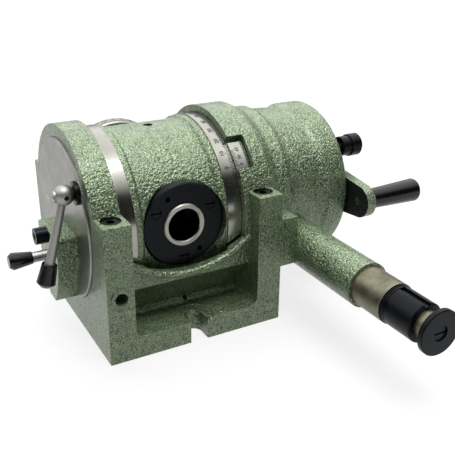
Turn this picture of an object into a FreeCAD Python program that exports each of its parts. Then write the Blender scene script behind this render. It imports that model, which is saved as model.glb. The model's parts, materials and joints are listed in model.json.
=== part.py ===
# Universal dividing head: cast base with cradle and clamping rings, swivelling drum with a
# through-bored spindle, worm drive, index plate and crank at the right, input shaft at the front.
# Millimetres, +Z up. The origin lies on the underside of the base, below the middle of the drum.
# +X runs along the swivel axis towards the crank, +Y towards the spindle nose.
import FreeCAD, Part
import math
import os
import Sketcher

Vector = FreeCAD.Vector
doc = FreeCAD.newDocument("DividingHead")
sheet = doc.addObject("Spreadsheet::Sheet", "Sizes")

SIZES = {
    "running_gap": (0.05, "radial clearance of shafts and journals"),
    "free_gap": (0.3, "clearance between pieces that pass each other"),
    "end_gap": (1, "shaft ends and shoulders short of what they meet"),
    "cut_over": (0.5, "how far some cuts run on past a face"),
    "fine_edge": (0.8, "edges of plates and knobs"),
    "shaft_step": (1, "steps of the shafts at their gears"),
    "base_width": (180, "base casting along the swivel axis"),
    "front_wall": (30.5, "base in front of the journals"),
    "back_wall": (20.5, "base behind the journals"),
    "foot_thickness": (22, "foot slab"),
    "post_width": (26, "clamp post along the swivel axis"),
    "post_height": (135, "top of the clamp posts"),
    "post_flat_depth": (32, "flat on top of a post, from the base end inwards"),
    "axis_height": (105, "swivel axis above the underside"),
    "ring_radius": (92, "outside of the left clamping ring"),
    "right_ring_radius": (93.2, "outside of the right clamping ring"),
    "left_ring_width": (25, "left clamping ring"),
    "right_ring_width": (31, "right clamping ring"),
    "journal_radius": (79.5, "journals of the drum in the rings"),
    "web_face": (90, "front of the web between the rings, from the swivel axis"),
    "web_back": (66, "back of that web"),
    "cove_depth": (22, "how far the hollow below the lip reaches into the web"),
    "cove_top": (60, "top of that hollow"),
    "cove_foot": (28, "bottom of that hollow"),
    "cove_radius": (60, "curve of that hollow"),
    "cove_round": (6, "rounding between the hollow and the foot"),
    "foot_round": (8, "rounding between the foot and the front posts"),
    "web_height": (88, "cradle webs next to the rings"),
    "cradle_gap": (2, "cradle around the scale bands"),
    "cap_relief_radius": (91.7, "deeper part of the cradle, passed by the cap"),
    "cap_relief_width": (86, "deeper part of the cradle"),
    "lip_radius": (96, "scoop in the front web"),
    "lip_bottom": (69, "lowest point of the front scoop"),
    "lip_width": (7, "bead along the front scoop"),
    "lip_height": (4.5, "how far the bead stands out"),
    "lip_sweep": (84, "angle of the bead along the scoop"),
    "nose_scoop_radius": (62, "scoop in the nose web"),
    "nose_scoop_bottom": (36, "lowest point of the nose scoop"),
    "slot_width": (18, "clamping slots in the foot"),
    "slot_depth": (23, "length of a clamping slot"),
    "slot_spot_radius": (19, "spot face around a slot end"),
    "slot_spot_depth": (0.8, "spot face below the top of the foot"),
    "side_boss_radius": (9.5, "boss on the left post"),
    "side_boss_height": (1.5, "how far the boss stands out"),
    "side_boss_level": (66, "boss above the underside"),
    "side_hole_radius": (6, "hole in the boss"),
    "side_hole_depth": (16, "depth of that hole"),
    "drain_radius": (2.4, "drain hole in the web"),
    "drain_offset": (4.5, "drain hole from the middle"),
    "drain_level": (26, "drain hole above the underside"),
    "drain_depth": (12, "drain hole into the web"),
    "clamp_inset": (0.75, "clamp screws from the middle of their wall, towards the axis"),
    "clamp_ring_gap": (1.5, "counterbore around a clamp screw head"),
    "clamp_head_sink": (1, "clamp screw heads below the top of the post"),
    "clamp_head_radius": (8, "clamp screw head"),
    "clamp_head_height": (10, "clamp screw head"),
    "clamp_shank_radius": (5, "clamp screw shank"),
    "socket_radius": (4, "hexagon socket, corner radius"),
    "socket_share": (0.6, "depth of a hexagon socket over the height of its head"),
    "shoe_radius": (7, "clamp shoes"),
    "shoe_level": (114, "clamp shoes above the underside"),
    "shoe_back": (8, "shoe beyond the screw axis"),
    "shoe_overlap": (12, "bore of the clamp shoes past the journal surface"),
    "window_start": (32.5, "angle where the vernier window starts"),
    "window_sweep": (22, "angle of the vernier window"),
    "window_width": (17, "vernier window along the axis"),
    "window_margin": (3, "window groove beyond the ring"),
    "vernier_radius": (87.5, "reading face of the vernier plate"),
    "vernier_gap": (0.6, "vernier plate to the left end of its window"),
    "vernier_margin": (1, "vernier plate to the right end of its window"),
    "vernier_thickness": (2, "vernier plate"),
    "vernier_sweep": (19, "angle of the vernier plate"),
    "barrel_radius": (82, "barrel of the drum"),
    "collar_radius": (85, "collars beside the scale bands"),
    "collar_width": (6, "collars beside the scale bands"),
    "spigot_radius": (78, "seats of the scale bands"),
    "band_radius": (86, "scale bands"),
    "band_width": (14.5, "scale bands along the axis"),
    "side_gap": (0.5, "drum to ring, each side"),
    "spindle_rise": (5, "spindle axis above the swivel axis"),
    "nose_boss_radius": (43.8, "boss around the nose bearing"),
    "nose_boss_face": (84, "face of the nose boss"),
    "oil_hole_radius": (4.7, "oiling hole on top of the drum"),
    "oil_hole_bottom": (156, "bottom of the oiling hole"),
    "cap_radius": (41.5, "rear bearing cap"),
    "cap_gap": (1, "recess of the drum around the cap"),
    "cap_face": (79, "rear face of the cap"),
    "cap_thickness": (9, "flange of the cap"),
    "cap_spigot": (4, "spigot of the cap in the bearing seat"),
    "cap_screw_circle": (32, "screws and pin holes of the cap"),
    "cap_screw_radius": (5, "heads of the cap screws"),
    "cap_screw_gap": (0.45, "recess around the cap screw heads"),
    "cap_screw_length": (14, "cap screws below the head"),
    "cap_chamfer": (1.2, "edge of the cap"),
    "cap_screw_sink": (4, "cap screw heads below the face"),
    "shank_share": (0.55, "shank radius of a slotted screw over its head radius"),
    "slot_share": (0.34, "slot of a screw over the radius of its head"),
    "slot_depth_share": (0.5, "depth of that slot over the height of the head"),
    "cap_hole_radius": (2.6, "pin holes of the cap"),
    "cap_hole_depth": (5, "pin holes of the cap"),
    "bearing_depth": (6.5, "spindle bearings from bore to outside"),
    "bearing_width": (16, "spindle bearings"),
    "race_thickness": (2, "rings of the spindle bearings"),
    "roller_count": (16, "rollers in each bearing"),
    "bore_clearance_radius": (25, "drum bore around the spindle"),
    "spindle_end_radius": (21.3, "rear end of the spindle"),
    "spindle_end": (81, "rear face of the spindle"),
    "spindle_seat_radius": (22.3, "worm wheel seat of the spindle"),
    "spindle_nose_radius": (23.3, "nose bearing seat of the spindle"),
    "spindle_bore_radius": (16, "rear counterbore of the spindle"),
    "spindle_bore_depth": (26, "rear counterbore of the spindle"),
    "spindle_through_radius": (12.5, "through bore of the spindle"),
    "taper_mouth_radius": (15.6, "mouth of the nose taper"),
    "taper_depth": (52, "length of the nose taper"),
    "nose_flange_radius": (30, "flange of the spindle nose"),
    "nose_end": (130, "front face of the spindle"),
    "nose_thread_radius": (24, "nose thread"),
    "dial_radius": (58, "direct indexing dial"),
    "dial_back": (90, "rear face of the dial"),
    "dial_thickness": (16, "direct indexing dial"),
    "dial_edge": (1.5, "edges of the dial"),
    "dial_notch_count": (24, "indexing holes of the dial"),
    "dial_hole_circle": (44, "circle of those holes"),
    "dial_hole_radius": (2.6, "those holes"),
    "dial_hole_depth": (10, "those holes, from the front"),
    "carrier_radius": (38.5, "nose bearing carrier"),
    "carrier_start": (26, "inner end of the carrier"),
    "carrier_flange_radius": (43.5, "flange of the carrier"),
    "carrier_flange_thickness": (4, "flange of the carrier"),
    "carrier_screw_radius": (2.2, "heads of the carrier screws"),
    "carrier_screw_length": (8, "carrier screws below the head"),
    "carrier_screw_count": (6, "screws of the carrier"),
    "screw_gap": (0.15, "clearance around small screws"),
    "nose_bearing_start": (66, "inner end of the nose bearing"),
    "wheel_radius": (36, "worm wheel"),
    "wheel_width": (14, "worm wheel"),
    "wheel_centre": (-14, "worm wheel along the spindle"),
    "wheel_teeth": (40, "worm wheel"),
    "wheel_gap": (2, "chamber around the worm wheel"),
    "tooth_depth": (2.5, "all toothed wheels"),
    "tooth_gap_share": (0.45, "bottom of a tooth gap over its mouth"),
    "worm_drop": (48, "worm axis below the spindle axis"),
    "worm_radius": (11.8, "worm"),
    "worm_length": (40, "threaded part of the worm"),
    "worm_pitch": (5.6, "thread of the worm"),
    "worm_runout": (3, "slope from the worm to its shaft"),
    "thread_root": (0.6, "half the root of the worm thread"),
    "thread_mouth": (1.8, "half the mouth of the worm thread"),
    "worm_shaft_radius": (7, "worm shaft"),
    "worm_end_wall": (5, "end wall of the worm bore in the block"),
    "worm_end_gap": (2, "worm bore of the block around the shaft"),
    "worm_bush_length": (16, "right bush of the worm shaft"),
    "bush_wall": (4, "bushes of the shafts"),
    "worm_tunnel_radius": (15, "drum bore around the worm"),
    "pair_gear_radius": (22.5, "spur gears between crank shaft and worm"),
    "pair_gear_width": (12, "those spur gears"),
    "pair_gear_teeth": (24, "those spur gears"),
    "gear_chamber_depth": (18, "chamber for the spur gears in the drum"),
    "gear_chamber_gap": (2, "chamber around the spur gears"),
    "disc_thickness": (2.5, "left journal standing out of its ring"),
    "disc_edge": (1.2, "edge of the left journal disc"),
    "block_thickness": (20.5, "worm end block"),
    "block_centre": (-15, "worm end block along the spindle"),
    "block_half_width": (30, "worm end block"),
    "block_top": (104, "top face of the worm end block"),
    "block_shoulder": (80, "where the sides of the block turn in"),
    "block_bottom": (31, "bottom of the worm end block"),
    "block_foot_half_width": (9, "bottom of the worm end block"),
    "block_side_radius": (110, "curve of the block sides"),
    "block_corner": (6, "upper corners of the block"),
    "thrust_screw_y": (-15, "black socket screw along the spindle"),
    "thrust_screw_level": (98.5, "black socket screw above the underside"),
    "thrust_screw_radius": (8, "black socket screw"),
    "thrust_head_length": (12, "head of the black socket screw outside the block"),
    "thrust_screw_length": (15, "black socket screw below the head"),
    "pull_y": (-28, "pull pin along the spindle"),
    "pull_level": (84, "pull pin above the underside"),
    "pull_rod_radius": (5, "pull pin"),
    "pull_rod_reach": (19, "bare rod outside the block"),
    "pull_bore_depth": (14, "bore of the pull pin in the disc"),
    "pull_grip_radius": (8.3, "grip of the pull pin at its thick end"),
    "pull_grip_small": (5.8, "grip of the pull pin at the rod"),
    "pull_grip_length": (21.5, "grip of the pull pin"),
    "grip_tip": (3.5, "tapered tip of both lever grips"),
    "pull_travel": (8, "travel of the pull pin"),
    "lock_y": (-54, "spindle lock lever along the spindle"),
    "lock_level": (150, "spindle lock lever above the underside"),
    "lock_ball_radius": (9.5, "ball hub"),
    "lock_ball_reach": (12, "ball centre from the disc face"),
    "lock_ball_hole": (2.2, "hole in the ball"),
    "lock_ball_hole_depth": (6, "hole in the ball"),
    "lock_stud_radius": (5.5, "stud through the ball hub"),
    "lock_cap_length": (2, "slotted end of the stud"),
    "lock_cap_slot": (0.7, "half the slot of that end"),
    "lock_collar_radius": (11, "collar under the ball hub"),
    "lock_collar_width": (3, "collar under the ball hub"),
    "lock_rod_radius": (3.6, "rod of the lock lever at the ball"),
    "lock_rod_end_radius": (4.7, "rod of the lock lever at the grip"),
    "lock_rod_length": (66, "ball centre to the grip"),
    "lock_rod_lean": (16, "lean of the rod away from the disc"),
    "lock_grip_length": (22, "grip of the lock lever"),
    "lock_grip_small": (7, "grip of the lock lever at the rod"),
    "lock_grip_large": (8.7, "grip of the lock lever at its end"),
    "plug_y": (50, "brass plugs from the middle of the disc"),
    "plug_level": (109, "brass plugs above the underside"),
    "plug_radius": (3.6, "brass plugs"),
    "plug_head": (1.2, "heads of the brass plugs"),
    "plug_length": (5, "brass plugs below the head"),
    "flange_radius": (85.6, "flange of the gear housing"),
    "shoulder_top": (88.8, "middle of the slope from the ring to the flange"),
    "shoulder_middle": (8, "that point from the base"),
    "shoulder_end": (14.5, "end of that slope from the base"),
    "shoulder_radius": (12, "curves of that slope"),
    "flange_width": (27, "flange of the gear housing"),
    "neck_radius": (80, "neck of the gear housing"),
    "neck_start": (127, "start of the neck"),
    "neck_start_radius": (81.6, "start of the neck"),
    "neck_end": (152, "end of the neck"),
    "neck_fillet": (20, "hollow between flange and neck"),
    "bowl_radius": (83.2, "bowl of the gear housing"),
    "bowl_rise": (14, "slope from the neck to the bowl"),
    "bowl_start": (173, "where the bowl is widest"),
    "rim_face": (190, "open face of the bowl"),
    "rim_round": (5, "rounding of the rim"),
    "bowl_wall": (6, "wall of the bowl"),
    "bowl_floor": (156, "floor of the open bowl"),
    "floor_thickness": (8, "partition behind the bowl"),
    "end_wall": (14, "wall of the housing next to the base"),
    "chamber_radius": (70, "gear chamber of the housing"),
    "seam_width": (1.2, "grooves at the seams of the housing"),
    "lug_width": (18, "lug beside the right post"),
    "lug_top": (108.5, "top of the lug"),
    "lug_bottom": (58.5, "bottom of the lug"),
    "lug_screw_radius": (5, "heads of the lug screws"),
    "lug_screw_length": (26, "lug screws below the head"),
    "lug_screw_y": (10, "lug screws from the front end"),
    "lug_screw_spacing": (28, "distance between the lug screws"),
    "lug_screw_level": (100, "lug screws above the underside"),
    "lug_root": (70, "inner end of the lug from the swivel axis"),
    "tube_x": (126.4, "input shaft from the spindle"),
    "tube_level": (70, "input shaft above the underside"),
    "tube_radius": (22.2, "tube around the input shaft"),
    "tube_end": (198.4, "open end of the tube"),
    "tube_root": (58, "inner end of the tube"),
    "inner_boss_radius": (16, "far bearing boss of the input shaft"),
    "inner_boss_length": (26, "far bearing boss"),
    "sleeve_radius": (19.5, "steel sleeve in the tube"),
    "sleeve_out": (38, "sleeve outside the tube"),
    "sleeve_in": (50, "sleeve inside the tube"),
    "input_radius": (13, "input shaft in its sleeve"),
    "input_bore_gap": (2, "bore of the tube around the input shaft"),
    "input_journal_radius": (9, "far journal of the input shaft"),
    "input_journal_length": (16, "far journal of the input shaft"),
    "ring_width": (4, "grooved ring on the input shaft"),
    "ring_groove_half": (0.6, "half the groove of that ring"),
    "change_collar_radius": (18.5, "black collar"),
    "change_collar_width": (32, "black collar"),
    "change_collar_edge": (1, "edges of the black collar"),
    "key_width": (6, "key of the input shaft"),
    "key_height": (3, "key above the shaft"),
    "key_seat": (2, "key sunk in the shaft"),
    "bare_shaft_length": (12, "shaft between collar and end washer"),
    "washer_radius": (20.9, "end washer"),
    "washer_thickness": (5.5, "end washer"),
    "washer_edge": (0.8, "edge of the end washer"),
    "end_screw_radius": (7, "slotted end screw"),
    "end_screw_sink": (3, "recess of the end screw"),
    "end_screw_head": (1.8, "head of the end screw"),
    "cross_gear_radius": (17.3, "crossed gears, half their axis distance less a gap"),
    "cross_gear_width": (16, "crossed gears"),
    "cross_gear_teeth": (16, "crossed gears"),
    "plate_sleeve_radius": (14, "sleeve that carries the index plate"),
    "plate_sleeve_back": (4, "sleeve of the index plate behind its gear"),
    "plate_radius": (72, "index plate"),
    "plate_thickness": (6, "index plate"),
    "plate_edge": (0.8, "edge of the index plate"),
    "plate_setback": (8, "front of the index plate behind the rim"),
    "hole_circle_radius": (65, "outer hole circle"),
    "hole_circle_step": (7, "distance between hole circles"),
    "index_hole_radius": (2.1, "index holes"),
    "outer_hole_count": (36, "holes in the outer circle"),
    "middle_hole_count": (30, "holes in the middle circle"),
    "inner_hole_count": (24, "holes in the inner circle"),
    "sector_thickness": (1.8, "sector arms"),
    "sector_gap": (0.2, "between the sector arms"),
    "sector_hub_radius": (21, "hub of the sector arms"),
    "sector_length": (68, "sector arms from the axis"),
    "sector_half_width": (4.5, "sector arms"),
    "sector_taper": (1.5, "width of a sector arm at the hub over its end"),
    "sector_spread": (60, "angle between the sector arms"),
    "sector_start": (160, "angle of the fixed sector arm"),
    "clip_thickness": (1, "clip over the sector arms"),
    "clip_inset": (2, "clip inside the hub of the sector arms"),
    "crank_shaft_radius": (10, "crank shaft"),
    "crank_step": (2, "step of the crank shaft in the arm and nut"),
    "crank_length": (99, "crank radius"),
    "crank_thickness": (11, "crank arm"),
    "crank_end_radius": (17, "end of the crank arm"),
    "crank_hub_radius": (28, "hub of the crank arm"),
    "plunger_arm_radius": (13, "end of the plunger arm"),
    "plunger_angle": (137.5, "direction of the plunger arm"),
    "crank_nut_radius": (11, "nut on the crank shaft"),
    "crank_nut_height": (9, "nut on the crank shaft"),
    "handle_stud_radius": (5, "stud of the crank handle"),
    "handle_stud_step": (1, "step of that stud in the arm"),
    "handle_collar_out": (2, "collar of that stud beyond its radius"),
    "handle_collar_width": (1.5, "collar of that stud"),
    "handle_stud_end": (12, "end of that stud inside the handle"),
    "handle_length": (67, "crank handle"),
    "handle_small_radius": (10.3, "crank handle at the arm"),
    "handle_large_radius": (12.4, "crank handle at its thickest"),
    "handle_end_round": (4, "rounding of the handle end"),
    "plunger_radius": (4, "index plunger"),
    "plunger_tip_radius": (1.9, "tip of the plunger"),
    "plunger_tip_edge": (0.4, "edge of the tip"),
    "plunger_tip_out": (3, "tip in front of the index plate"),
    "plunger_neck": (2, "slope from the tip to the plunger"),
    "plunger_knob_radius": (12, "knob of the plunger"),
    "plunger_sleeve_radius": (10.6, "sleeve of the plunger"),
    "plunger_sleeve_length": (10, "sleeve of the plunger"),
    "plunger_sleeve_floor": (1, "floor of the plunger sleeve"),
    "plunger_sleeve_lip": (1.5, "front lip of the plunger sleeve"),
    "plunger_knob_length": (14, "knob of the plunger"),
    "plunger_knob_round": (2, "outer edge of the knob"),
    "plunger_cap": (4, "closed end of the knob"),
    "plunger_spring_radius": (6.5, "spring in the plunger sleeve"),
    "spring_gap": (0.4, "clearance inside and outside the plunger spring"),
}

for row, (name, (value, note)) in enumerate(SIZES.items(), start=1):
    sheet.set(f"A{row}", note)
    sheet.set(f"B{row}", str(value))
    sheet.setAlias(f"B{row}", name)
doc.recompute()


class Size:
    """A size of the sheet, or a sum worked out from such sizes, as a value and as an expression."""

    def __init__(self, value, text):
        self.value = float(value)
        self.text = text

    def __add__(self, other):
        other = as_size(other)
        return Size(self.value + other.value, f"({self.text} + {other.text})")

    def __sub__(self, other):
        other = as_size(other)
        return Size(self.value - other.value, f"({self.text} - {other.text})")

    def __mul__(self, other):
        other = as_size(other)
        return Size(self.value * other.value, f"({self.text} * {other.text})")

    def __truediv__(self, other):
        other = as_size(other)
        return Size(self.value / other.value, f"({self.text} / {other.text})")

    def __radd__(self, other):
        return as_size(other) + self

    def __rsub__(self, other):
        return as_size(other) - self

    def __rmul__(self, other):
        return as_size(other) * self

    def __neg__(self):
        return Size(-self.value, f"(0 - {self.text})")

    def __float__(self):
        return self.value


def as_size(number):
    return number if isinstance(number, Size) else Size(number, repr(float(number)))


def root(size):
    return Size(math.sqrt(size.value), f"sqrt({size.text})")


def cosine(angle):
    return Size(math.cos(math.radians(angle.value)), f"cos({angle.text})")


def sine(angle):
    return Size(math.sin(math.radians(angle.value)), f"sin({angle.text})")


class Sheet:
    """Gives each alias of the sheet as an attribute."""

    def __getattr__(self, alias):
        return Size(sheet.get(alias), f"Sizes.{alias}")


s = Sheet()


def bind(item, path, size):
    item.setExpression(path, as_size(size).text)


def new_body(label, x=0, y=0, z=0):
    """A body whose own origin stands at the given place of the head."""
    body = doc.addObject("PartDesign::Body", label)
    body.Label = label
    for axis, size in (("x", x), ("y", y), ("z", z)):
        bind(body, f"Placement.Base.{axis}", size)
    return body


def new_sketch(body, plane, offset=0, turn=None):
    """A sketch on an origin plane of the body, moved along the plane's normal or turned about its own x."""
    support = [f for f in body.Origin.OriginFeatures if f.Role == plane + "_Plane"][0]
    item = body.newObject("Sketcher::SketchObject", body.Name + "_sketch")
    item.AttachmentSupport = [(support, "")]
    item.MapMode = "FlatFace"
    if turn is not None:
        item.AttachmentOffset = FreeCAD.Placement(Vector(), Vector(1, 0, 0), turn.value)
        bind(item, "AttachmentOffset.Rotation.Angle", turn)
    bind(item, "AttachmentOffset.Base.z", offset)
    return item


def hold(item, kind, *where, size):
    number = item.addConstraint(Sketcher.Constraint(kind, *where, as_size(size).value))
    item.setExpression(f"Constraints[{number}]", as_size(size).text)


def hold_point(item, curve, end, x, y):
    hold(item, "DistanceX", -1, 1, curve, end, size=x)
    hold(item, "DistanceY", -1, 1, curve, end, size=y)


def circle(x, y, radius):
    def draw(item):
        centre = Vector(float(x), float(y), 0)
        curve = item.addGeometry(Part.Circle(centre, Vector(0, 0, 1), float(radius)))
        hold_point(item, curve, 3, x, y)
        hold(item, "Radius", curve, size=radius)
    return draw


def bulge(start, end, radius):
    """An arc between two points, bulging to the left of the way, or to the right for a radius below nought."""
    middle = (start + end) * 0.5
    way = end - start
    side = 1 if float(radius) > 0 else -1
    rise = math.sqrt(max(float(radius) ** 2 - way.Length ** 2 / 4, 0))
    left = Vector(-way.y, way.x, 0).normalize() * side
    centre = middle - left * rise
    top = centre + left * abs(float(radius))
    return Part.Arc(start, top, end)


def hold_arc(item, curve, start, end):
    """Holds the radius of an arc, or the centre of a half circle midway between its ends."""
    along = [as_size(end[axis]).value - as_size(start[axis]).value for axis in (0, 1)]
    size = as_size(start[2])
    if abs(math.hypot(*along) - 2 * abs(size.value)) > 1e-6:
        hold(item, "Radius", curve, size=size if size.value > 0 else -size)
    elif abs(along[0]) > abs(along[1]):
        hold(item, "DistanceY", -1, 1, curve, 3, size=(as_size(start[1]) + end[1]) / 2)
    else:
        hold(item, "DistanceX", -1, 1, curve, 3, size=(as_size(start[0]) + end[0]) / 2)


def outline(*points):
    """A closed outline. A point is (x, y), or (x, y, radius) where an arc leads to the next point."""
    def draw(item):
        spots = [Vector(float(p[0]), float(p[1]), 0) for p in points]
        curves = []
        for number, point in enumerate(points):
            start = spots[number]
            end = spots[(number + 1) % len(points)]
            if len(point) == 3:
                arc = bulge(start, end, point[2])
                curve = item.addGeometry(arc)
                forward = item.getPoint(curve, 1).isEqual(start, 1e-6)
                curves.append((curve, 1, 2) if forward else (curve, 2, 1))
            else:
                curves.append((item.addGeometry(Part.LineSegment(start, end)), 1, 2))
        for number, point in enumerate(points):
            curve, first, last = curves[number]
            following, following_first, _ = curves[(number + 1) % len(points)]
            item.addConstraint(Sketcher.Constraint("Coincident", curve, last, following, following_first))
            hold_point(item, curve, first, point[0], point[1])
            if len(point) == 3:
                hold_arc(item, curve, point, points[(number + 1) % len(points)])
    return draw


def rectangle(x0, y0, x1, y1):
    return outline((x0, y0), (x1, y0), (x1, y1), (x0, y1))


def span(plane, low, high):
    """Offset along the plane's normal, and length, of a feature between two levels."""
    low, high = as_size(low), as_size(high)
    return (-high if plane == "XZ" else low), high - low


def feature(body, kind, item, **sizes):
    made = body.newObject("PartDesign::" + kind, body.Name + "_" + kind.lower())
    made.Profile = item
    for path, size in sizes.items():
        bind(made, path, size)
    item.Visibility = False
    return made


def add(body, plane, low, high, *draws):
    offset, length = span(plane, low, high)
    item = new_sketch(body, plane, offset)
    for draw in draws:
        draw(item)
    return feature(body, "Pad", item, Length=length)


def cut(body, plane, low, high, *draws):
    offset, length = span(plane, low, high)
    item = new_sketch(body, plane, offset)
    for draw in draws:
        draw(item)
    made = feature(body, "Pocket", item, Length=length)
    made.Reversed = True
    return made


def turned(body, axis, *draws, kind="Revolution"):
    """Turns outlines about the body's own axis: (along, out) about X, (out, along) about Y or Z."""
    item = new_sketch(body, "XZ" if axis == "Z" else "XY")
    for draw in draws:
        draw(item)
    made = feature(body, kind, item)
    made.ReferenceAxis = (item, ["H_Axis" if axis == "X" else "V_Axis"])
    made.Angle = 360
    return made


def repeated(body, made, plane_axis, count):
    """Repeats a feature in a full circle about an origin axis of the body."""
    axis = [f for f in body.Origin.OriginFeatures if f.Role == plane_axis + "_Axis"][0]
    pattern = body.newObject("PartDesign::PolarPattern", body.Name + "_pattern")
    pattern.Originals = [made]
    pattern.Axis = (axis, [""])
    pattern.Angle = 360
    bind(pattern, "Occurrences", count)
    body.Tip = pattern
    return pattern


def ring_x(label, x, y, z, start, end, inner, outer):
    """A plain bush or ring about an axis along X."""
    body = new_body(label, x, y, z)
    turned(body, "X", rectangle(start, inner, end, outer))
    return body


def ring_y(label, x, y, z, start, end, inner, outer):
    """A plain bush or ring about an axis along Y."""
    body = new_body(label, x, y, z)
    turned(body, "Y", rectangle(inner, start, outer, end))
    return body


def group(label, solids):
    """Several equal pieces under one name."""
    item = doc.addObject("Part::Feature", label)
    item.Label = label
    item.Shape = Part.makeCompound(solids)
    return item


def socket_screw(head_radius, head_height, shank_radius, length):
    """A socket-head screw: the head stands above the origin, the shank points down."""
    head = Part.makeCylinder(float(head_radius), float(head_height))
    shank = Part.makeCylinder(float(shank_radius), float(length), Vector(0, 0, -float(length)))
    corners = [Vector(float(s.socket_radius), 0, 0)]
    turn = FreeCAD.Rotation(Vector(0, 0, 1), 60)
    for _ in range(6):
        corners.append(turn.multVec(corners[-1]))
    hexagon = Part.Face(Part.makePolygon(corners))
    depth = float(head_height * s.socket_share)
    socket = hexagon.extrude(Vector(0, 0, depth))
    socket.translate(Vector(0, 0, float(head_height) - depth))
    return head.fuse(shank).removeSplitter().cut(socket)


def slotted_screw(head_radius, head_height, length):
    """A slotted screw: the head stands above the origin, the shank points down."""
    radius = float(head_radius)
    height = float(head_height)
    head = Part.makeCylinder(radius, height)
    shank = Part.makeCylinder(radius * float(s.shank_share), float(length), Vector(0, 0, -float(length)))
    wide = radius * float(s.slot_share)
    deep = height * float(s.slot_depth_share)
    slot = Part.makeBox(radius * 4, wide, deep)
    slot.translate(Vector(-radius * 2, -wide / 2, height - deep))
    return head.fuse(shank).removeSplitter().cut(slot)


def aim(shape, direction, place):
    """A copy of a shape with its +Z turned to a direction and its origin at a place."""
    turn = FreeCAD.Rotation(Vector(0, 0, 1), Vector(*direction))
    made = shape.copy()
    made.Placement = FreeCAD.Placement(Vector(*[float(p) for p in place]), turn)
    return made


# Places that several pieces share
half_width = s.base_width / 2
front_end = s.journal_radius + s.front_wall
back_end = s.journal_radius + s.back_wall
spindle_level = s.axis_height + s.spindle_rise
left_inner = s.left_ring_width - half_width
right_inner = half_width - s.right_ring_width
drum_left = left_inner + s.side_gap
drum_right = right_inner - s.side_gap
band_left = drum_left + s.band_width
band_right = drum_right - s.band_width
disc_face = -half_width - s.disc_thickness
block_face = disc_face - s.block_thickness
ring_bore = s.journal_radius + s.running_gap
post_x = half_width - s.post_width / 2
CLAMP_PLACES = [(front_end + s.journal_radius) / -2 + s.clamp_inset,
                (back_end + s.journal_radius) / 2 - s.clamp_inset]
clamp_seat = s.post_height - s.clamp_head_height - s.clamp_head_sink
bush_radius = s.worm_shaft_radius + s.bush_wall
worm_level = spindle_level - s.worm_drop
cap_inner = -s.cap_face + s.cap_thickness
bearing_rear = cap_inner + s.cap_spigot
bearing_front = bearing_rear + s.bearing_width
rear_bearing_radius = s.spindle_end_radius + s.bearing_depth
nose_bearing_radius = s.spindle_nose_radius + s.bearing_depth
CAP_SCREW_ANGLES = [Size(angle, f"{angle}") for angle in (-90, 30, 150)]
CAP_HOLE_ANGLES = [Size(angle, f"{angle}") for angle in (-60, 120)]
LUG_SCREW_LEVELS = [s.lug_screw_level, s.lug_screw_level - s.lug_screw_spacing]
carrier_screw_circle = (s.carrier_radius + s.carrier_flange_radius) / 2
carrier_screw_angles = [as_size((number + 0.5) * 360) / s.carrier_screw_count
                        for number in range(round(float(s.carrier_screw_count)))]
plate_front = s.rim_face - s.plate_setback
plate_back = plate_front - s.plate_thickness
crank_front = s.rim_face + s.crank_thickness
plunger_y = s.hole_circle_radius * cosine(s.plunger_angle)
plunger_level = s.axis_height + s.hole_circle_radius * sine(s.plunger_angle)
crank_bore = s.crank_shaft_radius + s.running_gap


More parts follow.
